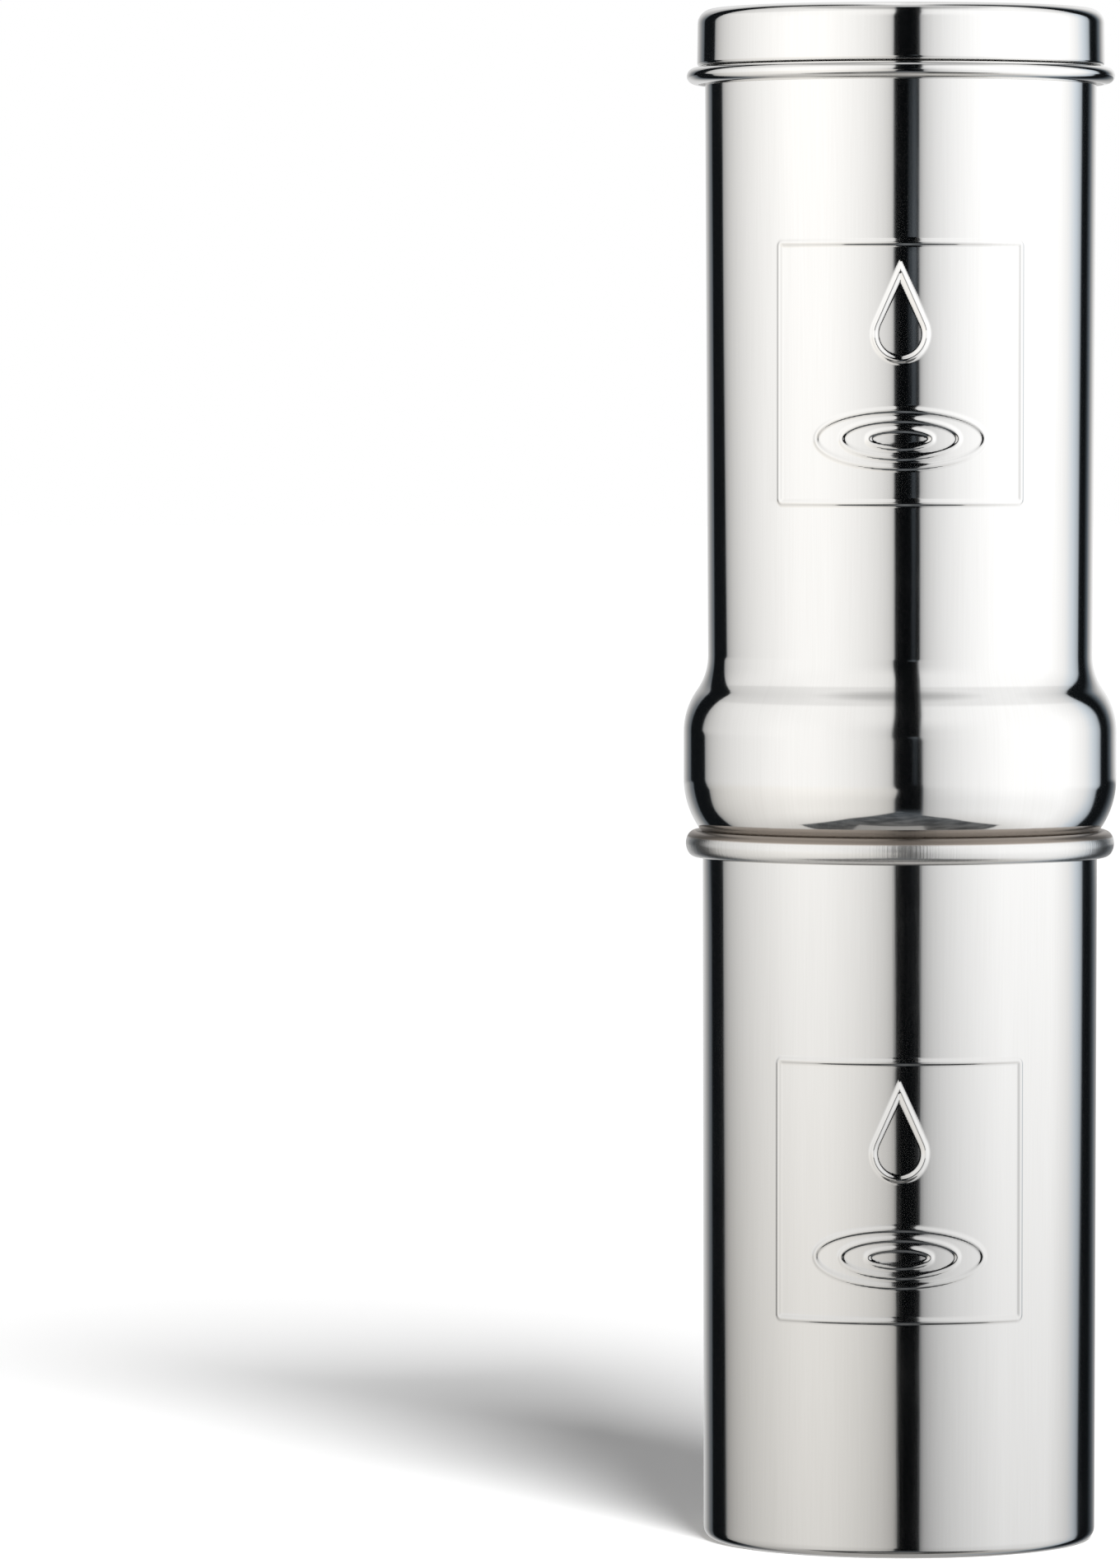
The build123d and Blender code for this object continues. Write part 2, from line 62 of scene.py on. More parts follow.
# %% [markdown]
# ## Shader maths that reads like Python
#
# A finish is worked out by small nodes: noise times a strength, plus a base value. Written as
# nodes and links, one line of maths takes ten lines of code. Here one class wraps a socket, so
# that `0.1 + streaks * 0.02` adds its own Math nodes, and one method adds any other node.


# %% Wrap a shader's numbers and its tree
class Number:
    """A number that a shader works out at each point of a surface."""

    def __init__(self, shader, socket):
        self.shader, self.socket = shader, socket

    def math(self, operation, *values):
        node = self.shader.node("ShaderNodeMath", {"operation": operation}, enumerate(values))
        return Number(self.shader, node.outputs[0])

    def __add__(self, other):
        return self.math("ADD", self, other)

    def __sub__(self, other):
        return self.math("SUBTRACT", self, other)

    def __rsub__(self, other):
        return self.math("SUBTRACT", other, self)

    def __mul__(self, other):
        return self.math("MULTIPLY", self, other)

    def __truediv__(self, other):
        return self.math("DIVIDE", self, other)

    def __neg__(self):
        return self * -1

    __radd__ = __add__
    __rmul__ = __mul__

    def held(self, low, high):
        """This number, held between two others."""
        node = self.shader.node("ShaderNodeClamp", inputs={0: self, 1: low, 2: high})
        return Number(self.shader, node.outputs[0])

    def rise(self, start, end, low=0.0, high=1.0):
        """Goes smoothly from low to high as this number goes from start to end."""
        inputs = {0: self, "From Min": start, "From Max": end, "To Min": low, "To Max": high}
        smooth = {"interpolation_type": "SMOOTHSTEP"}
        node = self.shader.node("ShaderNodeMapRange", smooth, inputs)
        return Number(self.shader, node.outputs[0])


class Shader:
    """The node tree of a material or of the world."""

    def __init__(self, owner):
        owner.use_nodes = True
        self.tree = owner.node_tree
        self.tree.nodes.clear()

    def node(self, kind, settings=(), inputs=()):
        """Adds a node. Settings come first, then the values or links of its sockets."""
        made = self.tree.nodes.new(kind)
        for name, value in dict(settings).items():
            setattr(made, name, value)
        for name, value in dict(inputs).items():
            if isinstance(value, Number):
                value = value.socket
            if isinstance(value, bpy.types.NodeSocket):
                self.tree.links.new(value, made.inputs[name])
            else:
                made.inputs[name].default_value = value
        return made

    def axes(self, vector):
        split = self.node("ShaderNodeSeparateXYZ", inputs={0: vector})
        return [Number(self, output) for output in split.outputs]

    def vector(self, x, y, z):
        return self.node("ShaderNodeCombineXYZ", inputs={0: x, 1: y, 2: z}).outputs[0]

    def noise(self, vector, scale, detail=2.0, roughness=0.5):
        sizes = {"Vector": vector, "Scale": scale, "Detail": detail, "Roughness": roughness}
        return Number(self, self.node("ShaderNodeTexNoise", inputs=sizes).outputs[0])

    def mix(self, share, low, high):
        """A colour between two colours or links."""
        inputs = {0: share, 6: low, 7: high}
        return self.node("ShaderNodeMix", {"data_type": "RGBA"}, inputs).outputs[2]

    def colours(self, share, low, high):
        return self.mix(share, (*low, 1.0), (*high, 1.0))

    def bump(self, height, strength, distance):
        sizes = {"Height": height, "Strength": strength, "Distance": distance}
        return self.node("ShaderNodeBump", inputs=sizes).outputs[0]

    def end(self, shader_node, kind="Material"):
        self.node(f"ShaderNodeOutput{kind}", inputs={0: shader_node.outputs[0]})


print("shader helpers ready")

# %% [markdown]
# ## Steel
#
# Polished stainless steel is a mirror with a slightly warm grey tint. Its mops leave very faint
# streaks along the height of each drawn wall, which spread a reflection by a hair, and hands leave
# patches that are a little duller. The lower chamber had less polishing than the upper one, so its
# streaks are deeper. The colour of each outside is painted darker lower down, most of all at the
# lower chamber's foot: that is painted shade. The top of the lower chamber's rim is rougher and is
# painted a darker tan, as painted shade from the tight gap under the upper chamber, and the top of
# the lid is duller still. The inside has only a satin finish, with fine rings from spinning. All of
# it comes from the height and from noise that is stretched along the height or around the axis, in
# the piece's own coordinates.

# %% Polished and satin steel
WALL = 0.0725  # metres, the radius at which a streak has its true width
RIM_FOOT, RIM_TOP, LID_TOP = 0.2530, 0.2601, 0.5652  # metres above the base


def wrapped(shader):
    """Where a point is: its position, the arc length round the axis and the height, in metres."""
    position = shader.node("ShaderNodeTexCoord").outputs["Object"]
    x, y, z = shader.axes(position)
    return position, x.math("ARCTAN2", x, y) * WALL, z


def principled(name, inputs):
    """A material with one Principled shader, whose sockets are all given."""
    material = bpy.data.materials.new(name)
    shader = Shader(material)
    surface = inputs(shader)
    shader.end(shader.node("ShaderNodeBsdfPrincipled", inputs=surface))
    return material


def polished(streak_roughness, streak_depth, foot, climb, rim=0.0, crown=False):
    """Its colour reflects a share foot at height 0 and climb more for each metre up, which is
    painted
    shade: darker lower down.

    A rim is rougher than the wall by that much. Its top is rougher still and painted a darker tan,
    which is painted shade from the tight gap under the upper chamber. A crown is a lid's dull top.
    """

    def surface(shader):
        position, around, height = wrapped(shader)
        streaks = shader.noise(shader.vector(around * 1300, height * 24, 0), 1.0, 3.0)
        patches = shader.noise(position, 22.0, 3.0, 0.6).rise(0.45, 0.75)
        tint = shader.colours(streaks, (0.845, 0.84, 0.828), (0.895, 0.892, 0.885))
        # Painted shade: the colour gets darker lower down, from a share foot at height 0.
        share = (foot + height * climb).held(0.0, 1.0)
        roughness = 0.055 + streaks * streak_roughness + patches * 0.015
        marks = streaks
        if rim:
            on_rim = height.rise(RIM_FOOT, RIM_FOOT + 0.0006)
            dull_and_shaded_rim_top = height.rise(RIM_TOP, RIM_TOP + 0.0008)
            roughness = roughness + on_rim * rim + dull_and_shaded_rim_top * 0.1
            marks = marks * (1 + on_rim * 18)
            # Painted shade: the rim's top is painted darker and tan, for the shade of the gap above
            # it.
            share = share * (1 - dull_and_shaded_rim_top * 0.6)
            tint = shader.mix(dull_and_shaded_rim_top * 0.9, tint, (0.92, 0.79, 0.68, 1.0))
        if crown:
            on_crown = height.rise(LID_TOP, LID_TOP + 0.0007)
            share = share * (1 - on_crown * 0.2)
            roughness = roughness + on_crown * 0.07
        scale = {"operation": "SCALE"}
        scaled = shader.node("ShaderNodeVectorMath", scale, {0: tint, "Scale": share})
        return {
            "Base Color": scaled.outputs[0],
            "Metallic": 1.0,
            "Roughness": roughness,
            "Normal": shader.bump(marks, streak_depth, 0.00002),
        }

    return surface


def satin(shader):
    position, around, height = wrapped(shader)
    rings = shader.noise(shader.vector(around * 30, height * 1500, 0), 1.0, 3.0)
    patches = shader.noise(position, 40.0, 2.0)
    return {
        "Base Color": shader.colours(patches, (0.70, 0.695, 0.68), (0.76, 0.755, 0.745)),
        "Metallic": 1.0,
        "Roughness": 0.24 + rings * 0.1 + patches * 0.04,
        "Normal": shader.bump(rings, 0.25, 0.00002),
    }


# Painted shade in each: the colour is darker lower down, only a little on the upper chamber.
bright_steel = principled("polished_steel_bright", polished(0.03, 0.05, 0.807, 0.35))
dull_top_steel = principled("polished_steel_lid", polished(0.03, 0.05, 0.807, 0.35, crown=True))
# Painted shade: the lower chamber's steel is painted much darker towards its foot.
shaded_lower_steel = principled("polished_steel_streaked_painted_shade", polished(0.06, 0.12, 0.65, 0.8, 0.15))
satin_steel = principled("satin_steel_inside", satin)
upper_steel, lid_steel, lower_steel = (
    (outside, satin_steel) for outside in (bright_steel, dull_top_steel, shaded_lower_steel)
)
print("steel:", bright_steel.name, shaded_lower_steel.name, satin_steel.name)

# %% [markdown]
# ## Drawing a section and turning it
#
# Each chamber is a body of revolution: a half section, turned about the axis. The section is
# drawn with a pen that moves as a hand would on a drawing board. A straight run extrudes a point,
# an arc spins one, and a rolled rim is an arc that is stretched afterwards. Because the pen turns
# by angles, the inner side of the sheet is the same walk with an inset, so the wall keeps its
# thickness all the way. A Screw modifier would turn the section too, but it can't give the front
# more columns than the back, which the pressed panel needs.


# %% A pen for half sections
def of_kind(parts, kind):
    """The points or edges among the parts that an operator gives back."""
    return [part for part in parts if isinstance(part, kind)]


class Pen:
    """Draws a chain of edges, with the radius along X and the height along Z."""

    def __init__(self, bm, radius, height, heading=0.0, inset=0.0):
        self.bm, self.heading, self.inset = bm, heading, inset
        self.tip = bm.verts.new((radius * MM, 0.0, height * MM))

    def to(self, radius, height):
        """A straight edge to a point, in millimetres."""
        made = bmesh.ops.extrude_vert_indiv(self.bm, verts=[self.tip])
        self.tip = made["verts"][0]
        self.tip.co = (radius * MM, 0.0, height * MM)

    def ahead(self, length, rows=1):
        """A straight run along the heading, in equal rows."""
        start, angle = self.tip.co.copy(), math.radians(self.heading)
        step = Vector((math.cos(angle), 0.0, math.sin(angle))) * length / rows
        for row in range(1, rows + 1):
            place = start / MM + step * row
            self.to(place.x, place.z)

    def straight(self, length, margin=0.4):
        """A run with a row close to each end, so that a flat mirror stays flat in shading."""
        for part in (margin, length - 2 * margin, margin):
            self.ahead(part)

    def turn(self, radius, degrees, steps):
        """An arc, leftwards for positive degrees. The inset keeps the sheet's thickness."""
        side = math.copysign(1.0, degrees)
        radius -= side * self.inset
        angle = math.radians(self.heading + side * 90)
        centre = self.tip.co + Vector((math.cos(angle), 0.0, math.sin(angle))) * radius * MM
        self.sweep(centre, degrees, steps)
        self.heading += degrees

    def sweep(self, centre, degrees, steps):
        made = bmesh.ops.spin(
            self.bm,
            geom=[self.tip],
            cent=centre,
            axis=(0.0, -1.0, 0.0),
            angle=math.radians(degrees),
            steps=steps,
        )
        self.tip = of_kind(made["geom_last"], BMVert)[0]

    def roll(self, centre, width, height, degrees, steps):
        """Part of an ellipse: an arc of a circle, stretched along the height."""
        middle = Vector((centre[0] * MM, 0.0, centre[1] * MM))
        about, stretch = Matrix.Translation(-middle), (1.0, 1.0, height / width)
        squeeze = (1.0, 1.0, width / height)
        bmesh.ops.scale(self.bm, vec=squeeze, space=about, verts=[self.tip])
        start, count = self.tip, len(self.bm.verts)
        self.sweep(middle, degrees, steps)
        self.bm.verts.ensure_lookup_table()
        drawn = [start, *self.bm.verts[count:]]
        bmesh.ops.scale(self.bm, vec=stretch, space=about, verts=drawn)


def weld(bm, distance=0.002):
    """Joins points closer than a distance in millimetres."""
    bmesh.ops.remove_doubles(bm, verts=bm.verts, dist=distance * MM)


def face_outwards(bm):
    bmesh.ops.recalc_face_normals(bm, faces=bm.faces)


def rotate(bm, degrees, axis="Z"):
    """Rotates a whole shape about an axis through the origin."""
    matrix = Matrix.Rotation(math.radians(degrees), 3, axis)
    bmesh.ops.rotate(bm, cent=(0, 0, 0), matrix=matrix, verts=bm.verts)


def sweep_round(bm, geometry, degrees, steps, climb=0.0, merge=False):
    """Sweeps a part of a shape round Z, with some metres of climb in each step."""
    swept = bmesh.ops.spin(
        bm,
        geom=geometry,
        cent=(0.0, 0.0, 0.0),
        axis=(0.0, 0.0, 1.0),
        dvec=(0.0, 0.0, climb),
        angle=math.radians(degrees),
        steps=steps,
        use_merge=merge,
    )
    return swept["geom_last"]


def spin_about_axis(bm, sectors, start=0.0):
    """Turns a section about Z through sectors, each some degrees in some steps."""
    rotate(bm, start)
    geometry = bm.verts[:] + bm.edges[:]
    for degrees, steps in sectors:
        geometry = sweep_round(bm, geometry, degrees, steps, merge=degrees >= 360)
    weld(bm)


print("pen ready")

# %% [markdown]
# ## Finishing a piece
#
# A piece is done when its points are welded, its faces point outwards and its edges are marked
# smooth or sharp. Then it becomes an object at the origin that rides on its CAD body and stands
# for the CAD node it dresses. Its material is the finish of its slot, unless it is given others.
# Holes and unions come from Blender's Boolean modifier, on shapes that are closed.


# %% Close, combine and register pieces
def to_object(bm, name):
    mesh = bpy.data.meshes.new(name)
    bm.to_mesh(mesh)
    bm.free()
    made = bpy.data.objects.new(name, mesh)
    bpy.context.scene.collection.objects.link(made)
    return made


def combine(bm, other, operation):
    """Two closed shapes joined, cut or overlapped, as one new bmesh."""
    for shape in (bm, other):
        face_outwards(shape)
    body, tool = to_object(bm, "shape"), to_object(other, "tool")
    modifier = body.modifiers.new("combine", "BOOLEAN")
    modifier.object, modifier.operation, modifier.solver = tool, operation, "EXACT"
    result = bmesh.new()
    result.from_object(body, bpy.context.evaluated_depsgraph_get())
    for made in (body, tool):
        mesh = made.data
        bpy.data.objects.remove(made)
        bpy.data.meshes.remove(mesh)
    return result


def set_shading(bm, crease):
    for face in bm.faces:
        face.smooth = True
    for edge in bm.edges:
        edge.smooth = edge.calc_face_angle(0.0) < math.radians(crease)


def finish_piece(bm, name, body, slot, node, materials=(), crease=30):
    """Makes the object, puts it on the body it moves with and hides the CAD node it stands for."""
    set_shading(bm, crease)
    triangles = sum(len(face.verts) - 2 for face in bm.faces)
    open_edges = sum(len(edge.link_faces) != 2 for edge in bm.edges)
    piece = to_object(bm, name)
    for material in materials or (finishes[slot],):
        piece.data.materials.append(material)
    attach(piece, body)
    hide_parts(node)
    print(f"{name}: {triangles} triangles, {open_edges} open edges, rides on {body}")
    return piece


# %% [markdown]
# ## The lower chamber
#
# A straight pot with a flat floor and a hardly visible taper, so that pots nest before assembly.
# Its mouth ends in a hollow rim, rolled outwards until its tail almost touches the wall.

# %% Section of the lower chamber
SHEET, RIM_SLIT, SEAT_GAP = 0.8, 0.3, 0.3
FINE = 0.43  # millimetres between rows where a panel has its relief
BORDER_RUN, END_ROW = 3.7, 0.4


def tangent(radius, degrees):
    """How far before a corner its rounding starts."""
    return radius * math.tan(math.radians(degrees) / 2)


def fine_rows(length):
    return math.ceil(length / FINE)


def panel_rows():
    """Runs of a wall across the height of a panel, and how many rows each has."""
    border = (BORDER_RUN, fine_rows(BORDER_RUN))
    under_ripples, ripples, between, drop, over_drop = 8.8, 25.2, 13.8, 39.2, 3.8
    low_half = (border, (under_ripples, 4), (ripples, fine_rows(ripples)), (between, 5))
    return (*low_half, (drop, fine_rows(drop)), (over_drop, 2), border)


def panel_sectors(radius):
    """Sectors of a full turn that begins at a panel's left border."""
    border, beside, middle = (BORDER_RUN, fine_rows(BORDER_RUN)), (11.2, 4), 68.4
    runs = (border, beside, (middle, fine_rows(middle)), beside, border)
    sectors = [(math.degrees(length / radius), steps) for length, steps in runs]
    front = sum(degrees for degrees, _ in sectors)
    return [*sectors, (360 - front, 72)], -90 - front / 2


def wall_with_panel(pen, length, panel_middle):
    """A long wall, with rows for a panel's relief on its outer side."""
    rows = panel_rows()
    height = sum(run for run, _ in rows)
    below = panel_middle - height / 2
    pen.ahead(END_ROW)
    pen.ahead(below - END_ROW)
    for run, count in rows:
        pen.ahead(run, count if pen.inset == 0 else 1)
    pen.ahead(length - below - height - END_ROW)
    pen.ahead(END_ROW)


def rolled_rim(pen, mouth_radius, middle, width, height):
    """From the wall's outer face round the inside of the roll, its tail and its outside."""
    centre = (mouth_radius - SHEET + width / 2, middle)
    slit = centre[0] - mouth_radius - RIM_SLIT
    inner, outer = width / 2 - SHEET, width / 2
    inner_turn = 360 - math.degrees(math.acos(slit / inner))
    outer_turn = 360 - math.degrees(math.acos(slit / outer))
    pen.roll(centre, inner, height / 2 - SHEET, -inner_turn, 20)
    tail = math.sqrt(1 - (slit / outer) ** 2) * height / 2
    pen.to(centre[0] - slit, middle - tail)
    pen.roll(centre, outer, height / 2, outer_turn, 40)


lower = SimpleNamespace(
    base=72.5,
    mouth=73.0,
    corner=4.0,
    rim_foot=253.0,
    rim_middle=257.9,
    rim_width=7.1,
    rim_height=9.8,
    panel=134.0,
)


def lower_wall(bm, inset):
    pen = Pen(bm, 0.0, inset, inset=inset)
    lean = math.degrees(math.atan2(lower.mouth - lower.base, lower.rim_foot))
    corner = tangent(lower.corner, 90 - lean)
    pen.straight(lower.base - corner)
    pen.turn(lower.corner, 90 - lean, 8)
    length = lower.rim_foot / math.cos(math.radians(lean)) - corner
    wall_with_panel(pen, length, lower.panel - corner)
    pen.to(lower.mouth - inset, lower.rim_middle)
    return pen


print(f"lower chamber: rim top at {lower.rim_middle + lower.rim_height / 2:.2f} mm")

# %% [markdown]
# ## The pressed panels
#
# The front of each chamber carries a square frame with a water drop over ripples, pressed out of
# the sheet. A press makes soft lines, which are round on top and run out into the wall at each
# side. So each line is given by the distance to its middle, and a smooth profile across it says
# how far the wall moves out. Moving the wall's own points keeps the panel one with its chamber.


# %% Relief of a panel
PANEL, BORDER, CORNER = 97.5, 3.0, 2.8
DROP_RADIUS, DROP_HEIGHT, DROP_LINE, DROP_LIFT = 11.0, 38.0, 3.0, 3.0
RIPPLES, RIPPLE_FLATNESS, RIPPLE_LINE, RIPPLE_DROP = (26.0, 46.0, 66.0), 0.36, 2.8, 24.0
FRAME_RELIEF, DROP_RELIEF, RIPPLE_RELIEF = 0.55, 0.75, 0.5


def line_profile(distance, width):
    """Height of a pressed line, from 1 on its middle to 0 at its edge."""
    share = min(abs(distance) / (width / 2), 1.0)
    return (1 - share * share) ** 2


def frame_line(x, y):
    half, radius = (PANEL - BORDER) / 2, CORNER - BORDER / 2
    across, up = abs(x) - half + radius, abs(y) - half + radius
    outside = math.hypot(max(across, 0), max(up, 0)) + min(max(across, up), 0) - radius
    return line_profile(outside, BORDER)


def drop_line(x, y):
    x, y = abs(x), y - DROP_LIFT - DROP_RADIUS
    tip = DROP_HEIGHT - DROP_RADIUS
    lean = math.acos(DROP_RADIUS / tip)
    out = Vector((math.sin(lean), math.cos(lean)))
    along = Vector((-out.y, out.x))
    point = Vector((x, y))
    if point.dot(along) < 0:
        outside = point.length - DROP_RADIUS
    elif (Vector((0, tip)) - point).dot(along) > 0:
        outside = point.dot(out) - DROP_RADIUS
    else:
        outside = (point - Vector((0, tip))).length
    return line_profile(outside + DROP_LINE / 2, DROP_LINE)


def ripple_line(x, y, width):
    half = width / 2 - RIPPLE_LINE / 2
    rise = width / 2 * RIPPLE_FLATNESS - RIPPLE_LINE / 2
    y += RIPPLE_DROP
    reach = math.hypot(x / half, y / rise)
    slope = math.hypot(x / half**2, y / rise**2)
    outside = (reach - 1) * reach / slope if slope else -rise
    return line_profile(outside, RIPPLE_LINE)


def relief(x, y):
    ripples = max(ripple_line(x, y, width) for width in RIPPLES)
    drawn = FRAME_RELIEF * frame_line(x, y), DROP_RELIEF * drop_line(x, y), RIPPLE_RELIEF * ripples
    return max(drawn)


def press_panel(bm, middle, wall_at):
    """Moves the outer face of a wall outwards where the panel has its lines."""
    reach = PANEL / 2 + BORDER
    moved = 0
    for vert in bm.verts:
        radius, y = vert.co.xy.length / MM, vert.co.z / MM - middle
        wall = wall_at(vert.co.z / MM)
        x = wall * math.atan2(vert.co.x, -vert.co.y)
        if abs(x) > reach or abs(y) > reach or radius < wall - SHEET / 2:
            continue
        lift = relief(x, y)
        vert.co.xy *= 1 + lift / radius
        moved += lift > 0
    return moved


def turned_chamber(draw_wall, sizes, rim_middle, panel_middle, wall_at):
    """The two faces of a chamber's wall and its rim, turned, with the panel pressed out."""
    bm = bmesh.new()
    pen = draw_wall(bm, 0.0)
    draw_wall(bm, SHEET)
    rolled_rim(pen, sizes.mouth, rim_middle, sizes.rim_width, sizes.rim_height)
    weld(bm)
    sectors, start = panel_sectors(wall_at(panel_middle))
    spin_about_axis(bm, sectors, start)
    print("points pressed out:", press_panel(bm, panel_middle, wall_at))
    return bm


def lower_radius(height):
    return lower.base + (lower.mouth - lower.base) * height / lower.rim_foot


chamber = turned_chamber(lower_wall, lower, lower.rim_middle, lower.panel, lower_radius)


# %% [markdown]
# The tap's shank goes through a round hole at the back. The inner faces get the satin finish.


# %% Tap hole, inner finish, and the finished lower chamber
def prism(sides, radius, length, place):
    """A closed bar with flat sides, as long as given in metres, made about Z and then placed."""
    bm = bmesh.new()
    bmesh.ops.create_cone(
        bm,
        cap_ends=True,
        segments=sides,
        radius1=radius * MM,
        radius2=radius * MM,
        depth=length,
        matrix=place,
    )
    return bm


def cylinder(radius, start, end, segments=48):
    """A closed round bar between two points, in millimetres."""
    start, end = Vector(start) * MM, Vector(end) * MM
    along = end - start
    turn = along.to_track_quat("Z", "Y").to_matrix().to_4x4()
    return prism(segments, radius, along.length, Matrix.Translation((start + end) / 2) @ turn)


def finish_inside(bm, floor, rim):
    """Gives the second material to the faces that look into a chamber, below its rim."""
    face_outwards(bm)
    for face in bm.faces:
        middle, normal = face.calc_center_median(), face.normal
        inwards = -normal.xy.dot(middle.xy.normalized())
        up = normal.z > 0.9 and middle.z / MM < floor + 2 * SHEET
        face.material_index = int(middle.z / MM < rim and (inwards > 0.1 or up))


TAP_HEIGHT, SHANK_RADIUS = 40.0, 8.0
hole = cylinder(SHANK_RADIUS + 0.25, (0, 60, TAP_HEIGHT), (0, 90, TAP_HEIGHT))
chamber = combine(chamber, hole, "DIFFERENCE")
finish_inside(chamber, 0.0, lower.rim_middle)
node = "lower_chamber"
finish_piece(chamber, f"{node}_shell", "lower", "polished_steel", node, lower_steel)

# %% [markdown]
# ## The upper chamber
#
# It is drawn like the lower one, but its foot is narrower: a cup that goes down into the mouth of
# the lower chamber, a cone that sits on the rolled rim, and above it a wide bulge that turns back
# to the wall in an S.

# %% Section of the upper chamber
upper = SimpleNamespace(
    floor=248.8,
    cup=71.6,
    cup_corner=3.0,
    cup_fillet=3.0,
    seat_slope=34.0,
    foot_arc=31.7,
    band=17.4,
    bulge=80.1,
    head_arc=26.7,
    waist_arc=22.0,
    waist=71.1,
    mouth=72.3,
    wall=210.8,
    rim_width=7.6,
    rim_height=6.3,
    panel=104.3,
)
lower_rim_centre = (lower.mouth - SHEET + lower.rim_width / 2, lower.rim_middle)
seat_sin, seat_cos = (f(math.radians(upper.seat_slope)) for f in (math.sin, math.cos))
rim_reach = math.hypot(lower.rim_width / 2 * seat_cos, lower.rim_height / 2 * seat_sin)
seat_top_radius = upper.bulge - upper.foot_arc * (1 - seat_cos)
seat_rise = rim_reach + SEAT_GAP + seat_cos * (seat_top_radius - lower_rim_centre[0])
seat_top = lower_rim_centre[1] + seat_rise / seat_sin
lean = math.atan2(upper.mouth - upper.waist, upper.wall)
head_turn = math.acos(
    (upper.head_arc + upper.waist_arc * math.cos(lean) - upper.bulge + upper.waist)
    / (upper.head_arc + upper.waist_arc)
)
band_top = seat_top + upper.foot_arc * seat_sin + upper.band
waist = band_top + upper.head_arc * math.sin(head_turn)
waist += upper.waist_arc * (math.sin(head_turn) + math.sin(lean))
upper_rim_middle = waist + upper.wall + upper.rim_height / 2
print(f"seat top {seat_top:.2f}, waist {waist:.2f}, rim middle {upper_rim_middle:.2f}")


def upper_wall(bm, inset):
    pen = Pen(bm, 0.0, upper.floor + inset, inset=inset)
    cone_foot = upper.cup + upper.cup_fillet * (1 - seat_cos)
    cone = (seat_top_radius - cone_foot) / seat_sin
    cup_top = seat_top - cone * seat_cos - upper.cup_fillet * seat_sin
    coarser = 1 if inset == 0 else 2
    pen.straight(upper.cup - upper.cup_corner)
    pen.turn(upper.cup_corner, 90, 6)
    pen.straight(cup_top - upper.floor - upper.cup_corner)
    pen.turn(upper.cup_fillet, -upper.seat_slope, 6 // coarser)
    pen.straight(cone)
    pen.turn(upper.foot_arc, upper.seat_slope, 14 // coarser)
    pen.straight(upper.band, 1.0)
    pen.turn(upper.head_arc, math.degrees(head_turn), 16 // coarser)
    pen.turn(upper.waist_arc, -math.degrees(head_turn + lean), 12 // coarser)
    wall_with_panel(pen, upper.wall / math.cos(lean), upper.panel)
    pen.to(upper.mouth - inset, upper_rim_middle)
    return pen


def upper_radius(height):
    return upper.waist + (upper.mouth - upper.waist) * (height - waist) / upper.wall


panel_middle = waist + upper.panel
chamber = turned_chamber(upper_wall, upper, upper_rim_middle, panel_middle, upper_radius)

# %% Stem holes and the finished upper chamber
CANDLE_X, STEM_RADIUS = 33.8, 6.0
for x in (-CANDLE_X, CANDLE_X):
    hole = cylinder(STEM_RADIUS + 0.3, (x, 0, 240), (x, 0, 256))
    chamber = combine(chamber, hole, "DIFFERENCE")
finish_inside(chamber, upper.floor, upper_rim_middle)
node = "upper_chamber"
finish_piece(chamber, f"{node}_shell", "upper", "polished_steel", node, upper_steel)

# %% [markdown]
# ## The lid
#
# A shallow cap with a soft edge. Its skirt turns in to a narrow flange that rests on the rim, and
# then down again into the mouth, which centres it.

# %% Lid
lid = SimpleNamespace(radius=75.3, draft=0.3, height=21.2, locator=70.6, depth=13.0)
LID_FLANGE = waist + upper.wall + upper.rim_height + SEAT_GAP
EDGE_ARC, FOLD_ARC = 5.5, 1.4
ABOVE_LID = Vector((0, 0, 0.62))  # metres: the sides that look towards this point are inner


def lid_wall(bm, inset):
    draft = math.degrees(math.atan2(lid.draft, lid.height))
    fold, edge = tangent(FOLD_ARC, 90 + draft), tangent(EDGE_ARC, 90 - draft)
    pen = Pen(bm, lid.locator - inset, LID_FLANGE - lid.depth, 90.0, inset)
    pen.straight(lid.depth - tangent(FOLD_ARC, 90))
    pen.turn(FOLD_ARC, -90, 6)
    pen.straight(lid.radius - lid.locator - FOLD_ARC - fold)
    pen.turn(FOLD_ARC, 90 + draft, 6)
    pen.straight(math.hypot(lid.height, lid.draft) - fold - edge)
    pen.turn(EDGE_ARC, 90 - draft, 12)
    pen.straight(lid.radius - lid.draft - edge)


cap = bmesh.new()
lid_wall(cap, 0.0)
lid_wall(cap, SHEET)
feet = [v for v in cap.verts if abs(v.co.z / MM - LID_FLANGE + lid.depth) < 0.01]
cap.edges.new(feet)
spin_about_axis(cap, [(360, 144)])
face_outwards(cap)
for face in cap.faces:
    inside = face.normal.dot(face.calc_center_median() - ABOVE_LID) < 0
    face.material_index = int(inside and face.normal.z < 0.3)
finish_piece(cap, "lid_shell", "lid", "polished_steel", "lid", lid_steel)

# %% [markdown]
# ## The other finishes
#
# Moulded plastic is never quite even: it has a fine grain, and its colour shifts a little where
# it cooled faster. Ceramic is dry and porous. Rubber is dull, with a bloom. Chrome on brass is
# brighter and colder than steel.


